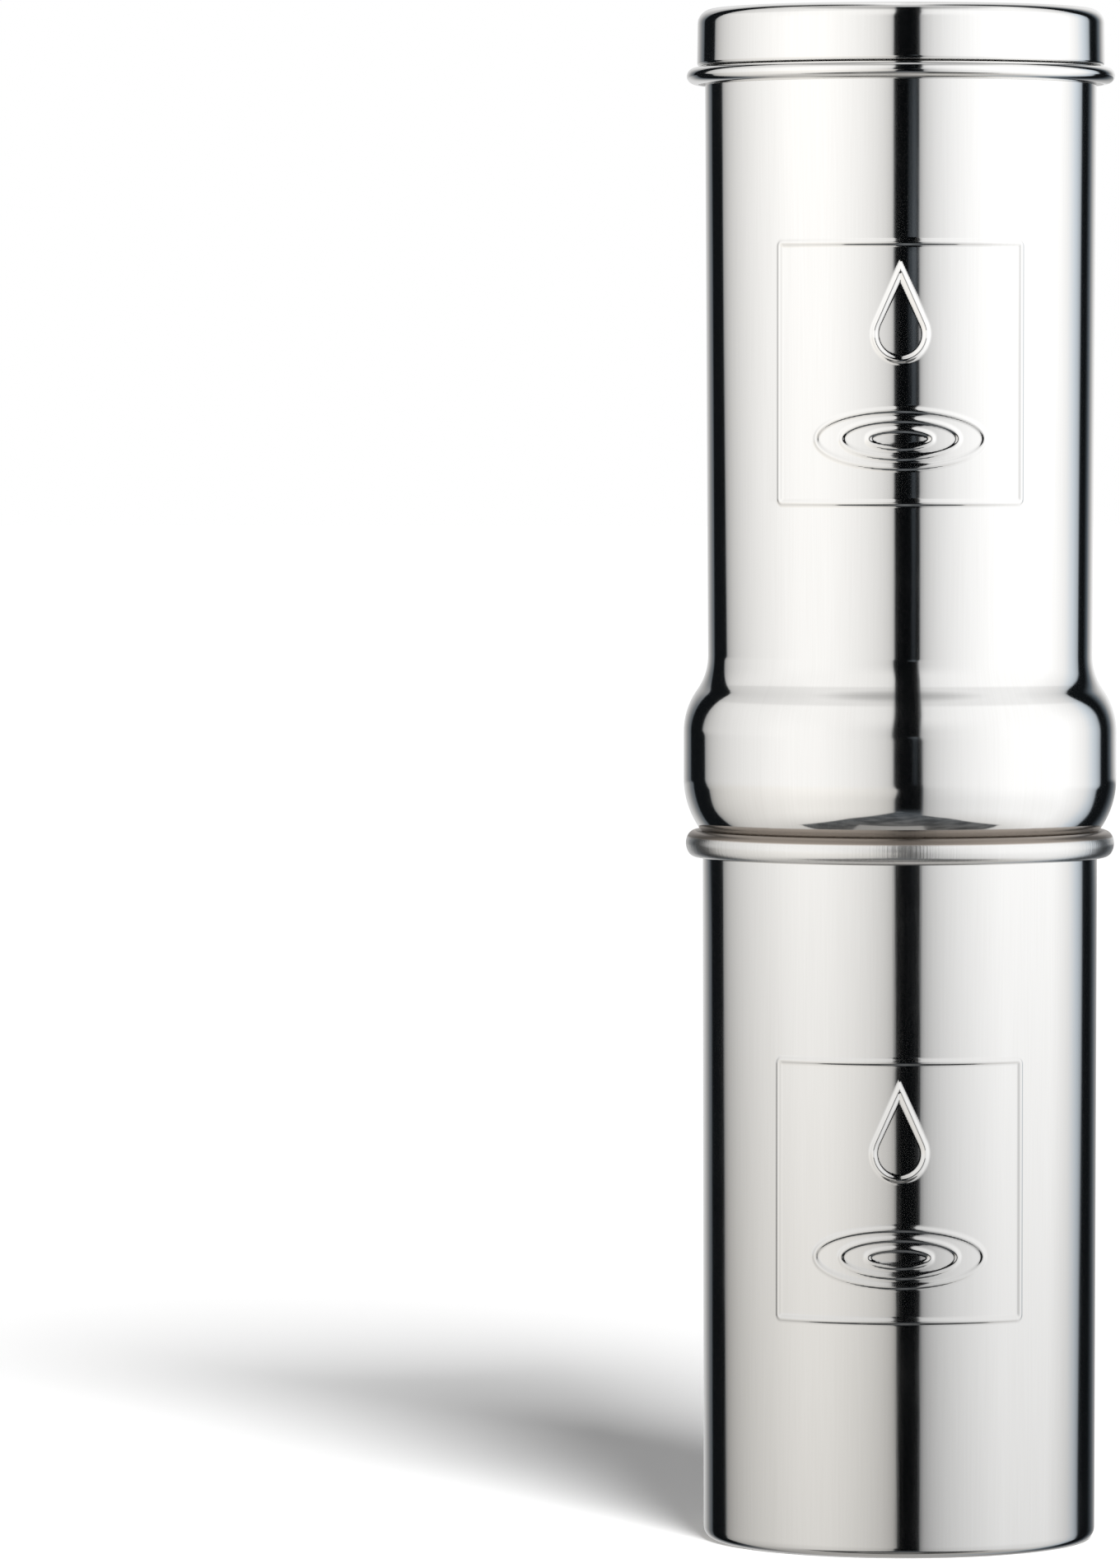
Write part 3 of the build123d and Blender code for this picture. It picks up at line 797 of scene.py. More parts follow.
# %% Plastics, rubber, ceramic, chrome and brass
def plain(low, high, roughness, grain, depth, scale=900.0):
    """A dielectric with a fine grain: two close colours, a roughness and a bump."""

    def surface(shader):
        position = shader.node("ShaderNodeTexCoord").outputs["Object"]
        fine = shader.noise(position, scale, 4.0, 0.6)
        broad = shader.noise(position, 60.0, 2.0)
        return {
            "Base Color": shader.colours(broad * 0.6 + fine * 0.4, low, high),
            "Roughness": roughness + fine * grain,
            "Normal": shader.bump(fine, 0.4, depth),
        }

    return surface


def metal(low, high, roughness, grain, depth):
    """A solid metal with fine tool marks."""

    def surface(shader):
        position = shader.node("ShaderNodeTexCoord").outputs["Object"]
        marks = shader.noise(position, 700.0, 3.0, 0.6)
        broad = shader.noise(position, 90.0, 2.0)
        return {
            "Base Color": shader.colours(broad, low, high),
            "Metallic": 1.0,
            "Roughness": roughness + marks * grain,
            "Normal": shader.bump(marks, 0.3, depth),
        }

    return surface


finishes = {
    "tap_chrome": metal((0.80, 0.805, 0.815), (0.87, 0.875, 0.885), 0.05, 0.05, 0.000004),
    "stem_brass": metal((0.70, 0.50, 0.22), (0.80, 0.62, 0.33), 0.2, 0.15, 0.00002),
    "spring_steel": metal((0.52, 0.52, 0.52), (0.62, 0.62, 0.61), 0.22, 0.15, 0.00001),
    "seal_rubber": plain((0.022, 0.022, 0.024), (0.04, 0.04, 0.042), 0.55, 0.25, 0.00003),
    "cup_silicone": plain((0.74, 0.75, 0.74), (0.80, 0.81, 0.80), 0.35, 0.1, 0.00001),
    "lever_plastic": plain((0.012, 0.012, 0.013), (0.02, 0.02, 0.021), 0.22, 0.18, 0.00003, 1600.0),
    "candle_ceramic": plain((0.80, 0.775, 0.71), (0.87, 0.85, 0.79), 0.75, 0.2, 0.0001, 1100.0),
    "candle_carbon": plain((0.02, 0.02, 0.02), (0.045, 0.045, 0.045), 0.8, 0.15, 0.0002, 1500.0),
    "mount_plastic": plain((0.76, 0.77, 0.77), (0.82, 0.83, 0.83), 0.3, 0.15, 0.00002),
}
finishes = {name: principled(name, surface) for name, surface in finishes.items()}
print("finishes:", ", ".join(finishes))

# %% [markdown]
# ## Small turned parts
#
# Washers, nuts, stems and the tap are turned, moulded or cast, and none of them has a truly sharp
# edge: a sharp edge shows no highlight and looks like a drawing. So each section is given by its
# corners with a rounding for each, the corners are bevelled while the section is still a chain of
# edges, and only then is it turned. That is quicker and cleaner than bevelling the solid.


# %% Lathe with rounded corners
def rounded(bm, parts, width, segments, affect="VERTICES"):
    """Bevels points or edges, by a width in millimetres, so that they turn round."""
    bmesh.ops.bevel(
        bm,
        geom=parts,
        offset=width * MM,
        offset_type="OFFSET",
        segments=segments,
        profile=0.5,
        affect=affect,
        clamp_overlap=affect == "EDGES",
        material=-1,
    )


def section(bm, corners):
    """A half section through corners (radius, height, rounding). Off the axis it is closed."""
    pen = Pen(bm, *corners[0][:2])
    tips = [pen.tip]
    for radius, height, *_ in corners[1:]:
        pen.to(radius, height)
        tips.append(pen.tip)
    if corners[0][0] > 0:
        bm.edges.new((tips[-1], tips[0]))
    for tip, (*_, rounding) in zip(tips, corners):
        if rounding > 0:
            rounded(bm, [tip], rounding, 4)


def placed(bm, x=0.0, y=0.0, z=0.0, axis="Z"):
    """Lays a piece that was made about Z along another axis, then moves it."""
    rotate(bm, *{"X": (90, "Y"), "Y": (-90, "X"), "Z": (0, "Z")}[axis])
    bmesh.ops.translate(bm, vec=Vector((x, y, z)) * MM, verts=bm.verts)
    return bm


def lathe(*corners, segments=64):
    """A solid of revolution from the corners of its half section."""
    bm = bmesh.new()
    section(bm, corners)
    spin_about_axis(bm, [(360, segments)])
    face_outwards(bm)
    return bm


def joined(first, *others):
    """A union of closed shapes, welded where they meet."""
    for other in others:
        first = combine(first, other, "UNION")
        weld(first, 0.001)
        bmesh.ops.dissolve_degenerate(first, dist=1e-7, edges=first.edges)
    return first


def bored(bm, *tools):
    """A closed shape with others cut out of it."""
    for tool in tools:
        bm = combine(bm, tool, "DIFFERENCE")
    return bm


print("lathe ready")

# %% [markdown]
# A thread is one tooth of the section that climbs while it turns. Each turn ends where the next
# one starts, so welding makes one skin. Two planes trim it, their cuts are capped, and the shape
# that it has in common with a chamfered bar gets the chamfer at its tip.


# %% Threaded bars
def threaded(radius, depth, pitch, start, end, segments=36):
    """A thread on Z between two heights, chamfered at its start."""
    bm = bmesh.new()
    foot = start - pitch
    pen = Pen(bm, radius - depth, foot)
    for reach, rise in ((radius, 0.4), (radius, 0.6), (radius - depth, 1.0)):
        pen.to(reach, foot + rise * pitch)
    turns = math.ceil((end - start) / pitch) + 2
    tooth = bm.verts[:] + bm.edges[:]
    sweep_round(bm, tooth, 360 * turns, turns * segments, pitch * MM / segments)
    weld(bm)
    for height, outwards in ((start, -1), (end, 1)):
        cut = bmesh.ops.bisect_plane(
            bm,
            geom=bm.verts[:] + bm.edges[:] + bm.faces[:],
            plane_co=(0.0, 0.0, height * MM),
            plane_no=(0.0, 0.0, outwards),
            clear_outer=True,
        )
        bmesh.ops.contextual_create(bm, geom=of_kind(cut["geom_cut"], BMEdge))
    tip = [(0, start, 0), (radius - 1, start, 0), (radius + 0.1, start + 1.1, 0)]
    bar = lathe(*tip, (radius + 0.1, end + 1, 0), (0, end + 1, 0))
    return combine(bm, bar, "INTERSECT")


print("threads ready")

# %% [markdown]
# ## The two candles
#
# A filter candle is a hollow ceramic dome that is glued into a moulded mount. The mount's threaded
# stem goes through a hole in the chamber's floor. A rubber washer seals it above, and a wing nut
# below pulls it tight by hand. The ceramic is drawn as one line down its outside and up its inside.

# %% Ceramic shell
FLOOR_TOP = upper.floor + SHEET
CANDLE_FOOT = FLOOR_TOP + 3.0
CUP_FLOOR, CANDLE_TOP = CANDLE_FOOT + 4.0, CANDLE_FOOT + 178.0
CANDLE_RADIUS, CANDLE_WALL = 25.4, 8.0
SIDES = {"left": -CANDLE_X, "right": CANDLE_X}


def candle_pair(bm, part, slot):
    """The same piece for both candles."""
    for side, x in SIDES.items():
        copy = placed(bm.copy(), x)
        node = f"{side}_candle_{part}"
        finish_piece(copy, f"{node}_piece", "upper", slot, node)
    bm.free()


shell = bmesh.new()
pen = Pen(shell, 0.0, CANDLE_TOP)
pen.turn(CANDLE_RADIUS, -90, 24)
straight = CANDLE_TOP - CANDLE_RADIUS - CUP_FLOOR
pen.ahead(straight, 8)
pen.to(CANDLE_RADIUS - CANDLE_WALL, CUP_FLOOR)
pen.heading = 90.0
pen.ahead(straight, 2)
pen.turn(CANDLE_RADIUS - CANDLE_WALL, 90, 12)
spin_about_axis(shell, [(360, 96)])
face_outwards(shell)
candle_pair(shell, "shell", "candle_ceramic")

# %% Mount with threaded stem
MOUNT_RADIUS, STEM_BORE, STEM_TIP = 27.0, 2.5, upper.floor - 30.0
RIBS, RIB_DEPTH = 36, 0.45

cup = lathe(
    (STEM_BORE, CANDLE_FOOT, 0),
    (MOUNT_RADIUS, CANDLE_FOOT, 1.2),
    (MOUNT_RADIUS, CANDLE_FOOT + 2.6, 0.3),
    (MOUNT_RADIUS, CUP_FLOOR + 8.2, 0.3),
    (MOUNT_RADIUS, CUP_FLOOR + 10, 0.7),
    (CANDLE_RADIUS + 0.05, CUP_FLOOR + 10, 0.5),
    (CANDLE_RADIUS + 0.05, CUP_FLOOR, 0),
    (STEM_BORE, CUP_FLOOR, 0),
    segments=RIBS * 6,
)
for vert in cup.verts:
    radius, height = vert.co.xy.length / MM, vert.co.z / MM
    if radius > MOUNT_RADIUS - 0.5 and CANDLE_FOOT + 2.7 < height < CUP_FLOOR + 8.1:
        wave = math.cos(RIBS * math.atan2(vert.co.y, vert.co.x))
        vert.co.xy *= 1 - RIB_DEPTH * (0.5 - 0.5 * wave) / MOUNT_RADIUS
stem = threaded(STEM_RADIUS, 0.75, 2.0, STEM_TIP, CANDLE_FOOT + 1)
mount = bored(joined(cup, stem), cylinder(STEM_BORE, (0, 0, STEM_TIP - 5), (0, 0, CUP_FLOOR + 5)))
candle_pair(mount, "base", "mount_plastic")

# %% Washer and wing nut
washer = lathe(
    (STEM_RADIUS + 0.05, FLOOR_TOP, 0.3),
    (14.0, FLOOR_TOP, 0.8),
    (14.0, CANDLE_FOOT, 0.8),
    (STEM_RADIUS + 0.05, CANDLE_FOOT, 0.3),
)
candle_pair(washer, "washer", "seal_rubber")


def slab(*outline, thickness, edge=0):
    """A flat piece from corners (y, z, rounding), as thick as given along X, with soft edges."""
    bm = bmesh.new()
    corners = [bm.verts.new((0.0, y * MM, z * MM)) for y, z, _ in outline]
    bm.faces.new(corners)
    for corner, (*_, rounding) in zip(corners, outline):
        if rounding > 0:
            rounded(bm, [corner], rounding, 5)
    bmesh.ops.translate(bm, vec=(-thickness / 2 * MM, 0, 0), verts=bm.verts)
    made = bmesh.ops.extrude_face_region(bm, geom=bm.faces[:])
    far = of_kind(made["geom"], BMVert)
    bmesh.ops.translate(bm, vec=(thickness * MM, 0, 0), verts=far)
    face_outwards(bm)
    if edge > 0:
        soften(bm, edge, 50)
    return bm


def soften(bm, width, angle):
    """Rounds every edge that is sharper than an angle."""
    sharp = [e for e in bm.edges if e.calc_face_angle(0.0) > math.radians(angle)]
    rounded(bm, sharp, width, 3, "EDGES")


NUT_TOP, NUT_RADIUS, NUT_HEIGHT, WING_REACH, WING_DROP = upper.floor, 10.5, 9.0, 23.0, 14.0
hub = lathe(
    (0, NUT_TOP - NUT_HEIGHT, 0),
    (NUT_RADIUS, NUT_TOP - NUT_HEIGHT, 1.6),
    (NUT_RADIUS, NUT_TOP, 0.6),
    (0, NUT_TOP, 0),
)
wings = []
for turn in (0, 180):
    wing = slab(
        (2, NUT_TOP - 2.5, 0),
        (NUT_RADIUS, NUT_TOP - 2, 4),
        (WING_REACH, NUT_TOP - WING_DROP / 2, 3.5),
        (WING_REACH, NUT_TOP - WING_DROP, 2.8),
        (WING_REACH - 6, NUT_TOP - WING_DROP, 2.8),
        (NUT_RADIUS, NUT_TOP - NUT_HEIGHT + 0.4, 2.5),
        (2, NUT_TOP - NUT_HEIGHT + 0.4, 0),
        thickness=3.6,
        edge=1.1,
    )
    rotate(wing, turn)
    wings.append(wing)
nut_bore = cylinder(STEM_RADIUS - 0.3, (0, 0, NUT_TOP - 20), (0, 0, NUT_TOP + 5))
candle_pair(bored(joined(hub, *wings), nut_bore), "wing_nut", "mount_plastic")

# %% [markdown]
# ## The tap
#
# A small self-closing tap is cast in brass and chromed: a threaded shank goes through the wall
# and a back nut holds it, a neck leads to an upright barrel, and the spout is the barrel's lower
# end. The casting has soft hollows where its parts meet, so the neck flares before it enters the
# barrel. A turned groove runs round the barrel near its top.

# %% Tap body
BARREL_Y, TAP_FLANGE_FOOT, SHANK_END = 96.579, 74.579, 59.592
BARREL_RADIUS, SPOUT_RADIUS, BARREL_TOP, BARREL_FOOT = 11.5, 8.0, 53.0, 25.0
SPOUT_TIP, VALVE_SEAT, CHAMBER_RADIUS = 13.0, 34.0, 8.5

barrel = lathe(
    (0, SPOUT_TIP, 0),
    (SPOUT_RADIUS - 0.4, SPOUT_TIP, 0.5),
    (SPOUT_RADIUS, SPOUT_TIP + 1.4, 0.3),
    (SPOUT_RADIUS - 0.3, BARREL_FOOT - 5, 3.5),
    (BARREL_RADIUS, BARREL_FOOT, 2.2),
    (BARREL_RADIUS, BARREL_TOP - 4.4, 0.2),
    (BARREL_RADIUS - 0.6, BARREL_TOP - 4.0, 0.2),
    (BARREL_RADIUS - 0.6, BARREL_TOP - 3.2, 0.2),
    (BARREL_RADIUS, BARREL_TOP - 2.8, 0.2),
    (BARREL_RADIUS, BARREL_TOP, 0.5),
    (0, BARREL_TOP, 0),
    segments=96,
)
neck = lathe(
    (0, TAP_FLANGE_FOOT, 0),
    (13.0, TAP_FLANGE_FOOT, 0.4),
    (13.0, TAP_FLANGE_FOOT + 3, 1.3),
    (8.4, TAP_FLANGE_FOOT + 3, 0.9),
    (7.5, TAP_FLANGE_FOOT + 5.4, 1.4),
    (7.5, BARREL_Y - 13.2, 1.8),
    (9.8, BARREL_Y - 5.5, 0),
    (0, BARREL_Y - 4, 0),
    segments=96,
)
shank = threaded(SHANK_RADIUS, 0.7, 1.5, SHANK_END, TAP_FLANGE_FOOT + 0.5, 48)
waterway = lathe(
    (0, SPOUT_TIP - 10, 0),
    (7.0, SPOUT_TIP - 10, 0),
    (7.0, SPOUT_TIP, 0),
    (6.0, SPOUT_TIP + 1.2, 0),
    (6.0, VALVE_SEAT - 2, 0),
    (4.5, VALVE_SEAT - 2, 0),
    (4.5, VALVE_SEAT, 0),
    (CHAMBER_RADIUS, VALVE_SEAT, 0),
    (CHAMBER_RADIUS, BARREL_TOP + 10, 0),
    (0, BARREL_TOP + 10, 0),
)
tap = joined(
    placed(barrel, y=BARREL_Y),
    placed(neck, z=TAP_HEIGHT, axis="Y"),
    placed(shank, z=TAP_HEIGHT, axis="Y"),
)
inlet = cylinder(4.5, (0, SHANK_END - 10, TAP_HEIGHT), (0, BARREL_Y, TAP_HEIGHT), 40)
tap = bored(tap, joined(placed(waterway, y=BARREL_Y), inlet))
finish_piece(tap, "tap_casting", "lower", "tap_chrome", "tap_body", crease=35)


# %% [markdown]
# Nuts are cut from hexagon bar and turned at their ends, which leaves round chamfers that cut
# curves into the flats. Here the hexagon and a chamfered disc keep only what they have in common.


# %% Bonnet and back nut
def hexagon_nut(flats, height, chamfers):
    """A hexagon about Z from height 0, with its corners turned off at the foot and at the top."""
    corner = flats / 2 / math.cos(math.radians(30))
    bar = prism(6, corner, height * MM, Matrix.Translation((0, 0, height / 2 * MM)))
    foot, top = (chamfer * 0.58 + 0.06 for chamfer in chamfers)
    disc = lathe(
        (0, -0.5, 0),
        (corner - chamfers[0] - 0.5, -0.5, 0),
        (corner + 0.1, foot, 0),
        (corner + 0.1, height - top, 0),
        (corner - chamfers[1], height, 0),
        (0, height, 0),
        segments=96,
    )
    return combine(bar, disc, "INTERSECT")


bonnet = hexagon_nut(22.0, 5.0, (0.5, 1.6))
rotate(bonnet, 30)
plug = lathe((0, -4, 0), (CHAMBER_RADIUS, -4, 0.4), (CHAMBER_RADIUS, 0.5, 0), (0, 0.5, 0))
bonnet = bored(joined(bonnet, plug), cylinder(2.55, (0, 0, -10), (0, 0, 10)))
bonnet = placed(bonnet, y=BARREL_Y, z=BARREL_TOP)
finish_piece(bonnet, "tap_bonnet_piece", "lower", "tap_chrome", "tap_bonnet")

BACK_NUT, NUT_FACE = 6.0, SHANK_END + 9.0
back_nut = hexagon_nut(24.0, BACK_NUT, (1.2, 1.2))
back_nut = bored(back_nut, cylinder(SHANK_RADIUS - 0.35, (0, 0, -5), (0, 0, 11)))
back_nut = placed(back_nut, y=NUT_FACE - BACK_NUT, z=TAP_HEIGHT, axis="Y")
finish_piece(back_nut, "tap_back_nut_piece", "lower", "tap_chrome", "tap_back_nut")

# %% [markdown]
# The lever is moulded in black plastic. Its side view and its plan are both drawn with round
# corners, and what they share is the lever. Its edges are rounded before the slot for the stem
# and the eye for the pin are cut, so that those stay crisp, as pulled cores leave them.

# %% Lever
PIN_Z, PIN_RADIUS, HEEL, HALF_EYE = 64.0, 1.5, 58.3, 5.75
side_view = slab(
    (-6.5, HEEL, 0.5),
    (9.5, HEEL, 0.25),
    (9.5, PIN_Z + 0.5, 3.0),
    (36.0, PIN_Z + 6.5, 1.4),
    (36.0, PIN_Z + 10.5, 1.6),
    (9.5, PIN_Z + 4.5, 9.0),
    (-4.5, PIN_Z + 4.5, 1.5),
    (-6.5, PIN_Z + 2.5, 1.5),
    thickness=30.0,
)
plan = slab(
    (-6.5, -HALF_EYE, 0.8),
    (9.5, -HALF_EYE, 5.0),
    (30.0, -9.0, 3.0),
    (36.0, -5.0, 2.5),
    (36.0, 5.0, 2.5),
    (30.0, 9.0, 3.0),
    (9.5, HALF_EYE, 5.0),
    (-6.5, HALF_EYE, 0.8),
    thickness=60.0,
)
rotate(plan, 90, "Y")
bmesh.ops.translate(plan, vec=(0, 0, PIN_Z * MM), verts=plan.verts)
lever = combine(side_view, plan, "INTERSECT")
weld(lever, 0.01)
soften(lever, 0.7, 40)
slot = bmesh.new()
slot_place = Matrix.Translation((0, -10 * MM, PIN_Z * MM)) @ Matrix.Diagonal((5.1, 33.0, 30.0, 1.0))
bmesh.ops.create_cube(slot, size=MM, matrix=slot_place)
eye = cylinder(PIN_RADIUS + 0.05, (-20, 0, PIN_Z), (20, 0, PIN_Z), 32)
lever = placed(bored(lever, slot, eye), y=BARREL_Y)
finish_piece(lever, "tap_lever_piece", "tap_handle", "lever_plastic", "tap_lever", crease=35)

# %% Pin, stem and seat cup
pin = lathe(
    (0, -HALF_EYE, 0),
    (PIN_RADIUS, -HALF_EYE, 0.5),
    (PIN_RADIUS, HALF_EYE, 0.5),
    (0, HALF_EYE, 0),
    segments=32,
)
pin = placed(pin, y=BARREL_Y, z=PIN_Z, axis="X")
finish_piece(pin, "tap_lever_pin_piece", "tap_valve", "spring_steel", "tap_lever_pin")
stem = lathe(
    (0, VALVE_SEAT + 1.2, 0),
    (4.0, VALVE_SEAT + 1.2, 0.3),
    (4.0, VALVE_SEAT + 3.6, 0.3),
    (2.5, VALVE_SEAT + 3.6, 0),
    (2.5, VALVE_SEAT + 5, 0),
    (5.8, VALVE_SEAT + 5, 0.25),
    (5.8, VALVE_SEAT + 6, 0.25),
    (2.5, VALVE_SEAT + 6, 0.3),
    (2.5, PIN_Z + 3.1, 0.6),
    (0, PIN_Z + 3.1, 0),
    segments=48,
)
stem = placed(bored(stem, cylinder(PIN_RADIUS, (-9, 0, PIN_Z), (9, 0, PIN_Z), 32)), y=BARREL_Y)
finish_piece(stem, "tap_stem_piece", "tap_valve", "stem_brass", "tap_stem")
seat_cup = lathe(
    (0, VALVE_SEAT, 0),
    (6.5, VALVE_SEAT, 0.6),
    (6.5, VALVE_SEAT + 5, 1.0),
    (2.6, VALVE_SEAT + 5, 0.3),
    (2.6, VALVE_SEAT + 3.7, 0),
    (4.1, VALVE_SEAT + 3.7, 0),
    (4.1, VALVE_SEAT + 1.1, 0),
    (0, VALVE_SEAT + 1.1, 0),
    segments=48,
)
seat_cup = placed(seat_cup, y=BARREL_Y)
finish_piece(seat_cup, "tap_seat_cup_piece", "tap_valve", "cup_silicone", "tap_seat_cup")

# %% [markdown]
# The spring is a round wire that climbs while it turns: a closed turn at each end, where it rests
# flat, and open turns between. When the valve opens, the spring gets shorter towards the bonnet
# that holds its upper end; here it is made at rest, with the valve shut.

# %% Spring
SPRING_FOOT, SPRING_TOP, WIRE, COIL_RADIUS = VALVE_SEAT + 6, BARREL_TOP - 4, 1.0, 4.4
STEPS, CLOSED_PITCH, OPEN_TURNS, STEM_LIFT = 32, 1.02, 3.5, 3.5
open_pitch = (SPRING_TOP - SPRING_FOOT - WIRE - 2 * CLOSED_PITCH) / OPEN_TURNS
spring = bmesh.new()
across = Matrix.Translation(Vector((COIL_RADIUS, 0, SPRING_FOOT + WIRE / 2)) * MM)
across = across @ Matrix.Rotation(math.radians(90), 4, "X")
bmesh.ops.create_circle(spring, cap_ends=True, segments=10, radius=WIRE / 2 * MM, matrix=across)
end = bmesh.ops.duplicate(spring, geom=spring.faces[:])["geom"]
end = of_kind(end, (BMVert, BMEdge))
copied = [face for face in spring.faces if face.verts[0] in end]
bmesh.ops.delete(spring, geom=copied, context="FACES_ONLY")
for turns, pitch in ((1, CLOSED_PITCH), (OPEN_TURNS, open_pitch), (1, CLOSED_PITCH)):
    end = sweep_round(spring, end, 360 * turns, int(turns * STEPS), pitch * MM / STEPS)
bmesh.ops.contextual_create(spring, geom=of_kind(end, BMEdge))
weld(spring)
face_outwards(spring)
spring = placed(spring, y=BARREL_Y)
spring = finish_piece(spring, "tap_spring_piece", "lower", "spring_steel", "tap_spring")
room = SPRING_TOP - SPRING_FOOT
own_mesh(spring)

# %% [markdown]
# ## Pieces that keep the CAD's shape
#
# The carbon cores fill the candles, and the two washers of the tap are cut to the curve of the
# wall, which the CAD has already done. A CAD solid comes as loose triangles, which can't be shaded
# smooth. A welded copy can: its round faces turn smooth, and its real edges stay sharp.

# %% Dress the remaining CAD solids
CAD_SHAPES = ("left_candle_core", "right_candle_core", "tap_inner_washer", "tap_outer_washer")
slots = {row["node"]: row["material_slot"] for row in frame["record"]["subparts"]}
bodies = {
    node: body
    for body, nodes in frame["record"]["behaviour"]["bodies"].items()
    for node in nodes
}
for node in CAD_SHAPES:
    bm = bmesh.new()
    bm.from_mesh(frame["nodes"][node].data)
    weld(bm, 0.001)
    finish_piece(bm, f"{node}_dressed", bodies[node], slots[node], node, crease=25)

# %% [markdown]
# ## The studio
#
# A mirror shows its surroundings, so the room makes the picture: two tall softboxes stand left
# and right in front, with a narrow dark gap between them, a black flag at the far side of each,
# and pale walls behind. Real lamp cards would do it, but they would also light the floor. So the
# world shader shows the softboxes to glossy rays only, gives plain even light to everything else,
# and white to the camera. All of it is worked out from the direction of a ray: its azimuth, with 0
# towards the camera and positive to the right, and its elevation, both in degrees.


# %% World: directions
def lamp(angle, start, end, edge):
    """1 between two angles, with edges as wide as given."""
    return angle.rise(start - edge, start + edge) * (1 - angle.rise(end - edge, end + edge))


def falloff(angle, edge, reach, power):
    """From 0 at an edge to 1 a reach away from it, fast at first, as a softbox fades."""
    share = ((angle - edge) / reach).held(0.0001, 1.0)
    return share.math("POWER", share, power)


world = bpy.data.worlds.new("studio")
bpy.context.scene.world = world
world.cycles.sampling_method = "NONE"
room = Shader(world)
x, y, z = room.axes(room.node("ShaderNodeTexCoord").outputs["Generated"])
azimuth = x.math("ARCTAN2", x, -y) * math.degrees(1)
elevation = z.math("ARCSINE", z) * math.degrees(1)

# A strip that looks equally wide on an upright wall and on a shoulder spreads as it goes up.
flat = (1 - z * z).math("SQRT", 1 - z * z)
across = azimuth * flat * 2 / (1 + flat)
print("directions ready:", len(room.tree.nodes), "nodes")

# %% [markdown]
# Each softbox ends at a black flag on its outer side and at the dark gap on its inner side. These
# edges lean a little near eye level, where the walls of the chambers mirror them, and shift again
# where the bulge mirrors what is high above or low down.

# %% World: softboxes between their flags
LEFT_FLAG, LEFT_GAP, RIGHT_GAP, RIGHT_FLAG = -130.2, -3.85, 10.95, 135.5
LEFT_LEVEL, RIGHT_LEVEL = 1.18, 1.28

lean, low_lean = elevation.held(-3, 0.7), elevation.held(-6.8, -3) + 3
above, high, foot_zone = elevation.rise(5, 30), elevation.rise(2, 40), elevation.rise(-7, -22)
left_flag = LEFT_FLAG - lean * 1.2 - low_lean * 0.75 + above - foot_zone * 4
left_gap = LEFT_GAP - lean * 0.25 - low_lean * 0.5 + high - foot_zone * 1.6
right_gap = RIGHT_GAP - lean * 0.38 + high * 0.8
right_flag = elevation.rise(-7, -3.5, RIGHT_FLAG - 4, RIGHT_FLAG)
right_flag = right_flag + foot_zone * 4 - elevation.rise(9, 30) * 8

left_share = azimuth.rise(left_flag - 0.5, left_flag + 0.5)
left_share = left_share * across.rise(left_gap + 0.5, left_gap - 0.5) * LEFT_LEVEL
right_share = across.rise(right_gap - 0.5, right_gap + 0.5)
right_share = right_share * azimuth.rise(right_flag + 0.5, right_flag - 0.5) * RIGHT_LEVEL
left_fade, right_fade = (
    elevation.rise(-6, -2.8, *powers) for powers in ((0.215, 0.195), (0.285, 0.25))
)
left_box = left_share * falloff(azimuth, left_flag, 66, 0.31)
left_box = left_box * falloff(across, left_gap + 0.4, -42, left_fade)
right_box = right_share * falloff(across, right_gap - 0.4, 52, right_fade)
right_box = right_box * falloff(azimuth, right_flag - 1, -34, 0.33)

# They fade below eye level, and even out above it. The crease over the bulge mirrors less.
low = elevation.rise(-22, -2, 0.93, 1.0) * elevation.rise(-30, -6, 0.96, 1.0)
boxes = (left_box + right_box) * low * (1 - above * 0.4)
boxes = boxes + (left_share + right_share) * above * 0.38
tilt = z / (2 - y * 2).math("SQRT", 2 - y * 2)  # of a wall that shows this to the eye
crease = tilt.rise(0.405, 0.447) * elevation.rise(10, 16)
boxes = boxes * (1 - crease * 0.14) * (1 - elevation.rise(54, 68) * 0.4)
print("softboxes ready:", len(room.tree.nodes), "nodes")

# %% [markdown]
# Behind the flags stand pale walls, which show as thin strips along the outline. A dim grey card
# stands in the gap. The bulge also mirrors the pale table far below, on which a dark mat lies with
# its corners pointing left, right and ahead, and a sheet of paper on the mat. The ceiling is even.

# %% World: walls, card, table and ceiling
left_wall = elevation.rise(-3.2, -2.4, -144.5, -149) - foot_zone * 5
back_left = azimuth.rise(left_wall + 1, left_wall - 1) * (0.12 + above * 0.3)
back_left = back_left + azimuth.rise(left_wall + 2, left_wall - 26) * 0.6
right_wall = elevation.rise(-3, -2, 146, 143) - above * 3 + foot_zone
back_right = azimuth.rise(right_wall, right_wall + elevation.rise(-3, -2, 42, 29))
back_right = back_right * elevation.rise(-3, -2, 0.68, 0.9)

card = lamp(across, 4.6, 9.8, 0.4) * lamp(elevation, 0.0, 0.95, 0.25) * 0.1
card = card + lamp(across, 6.8, 9.2, 0.3) * elevation.rise(-2.6, -1.6) * 0.055
bands = boxes + card * elevation.rise(2, 1) + back_left + back_right

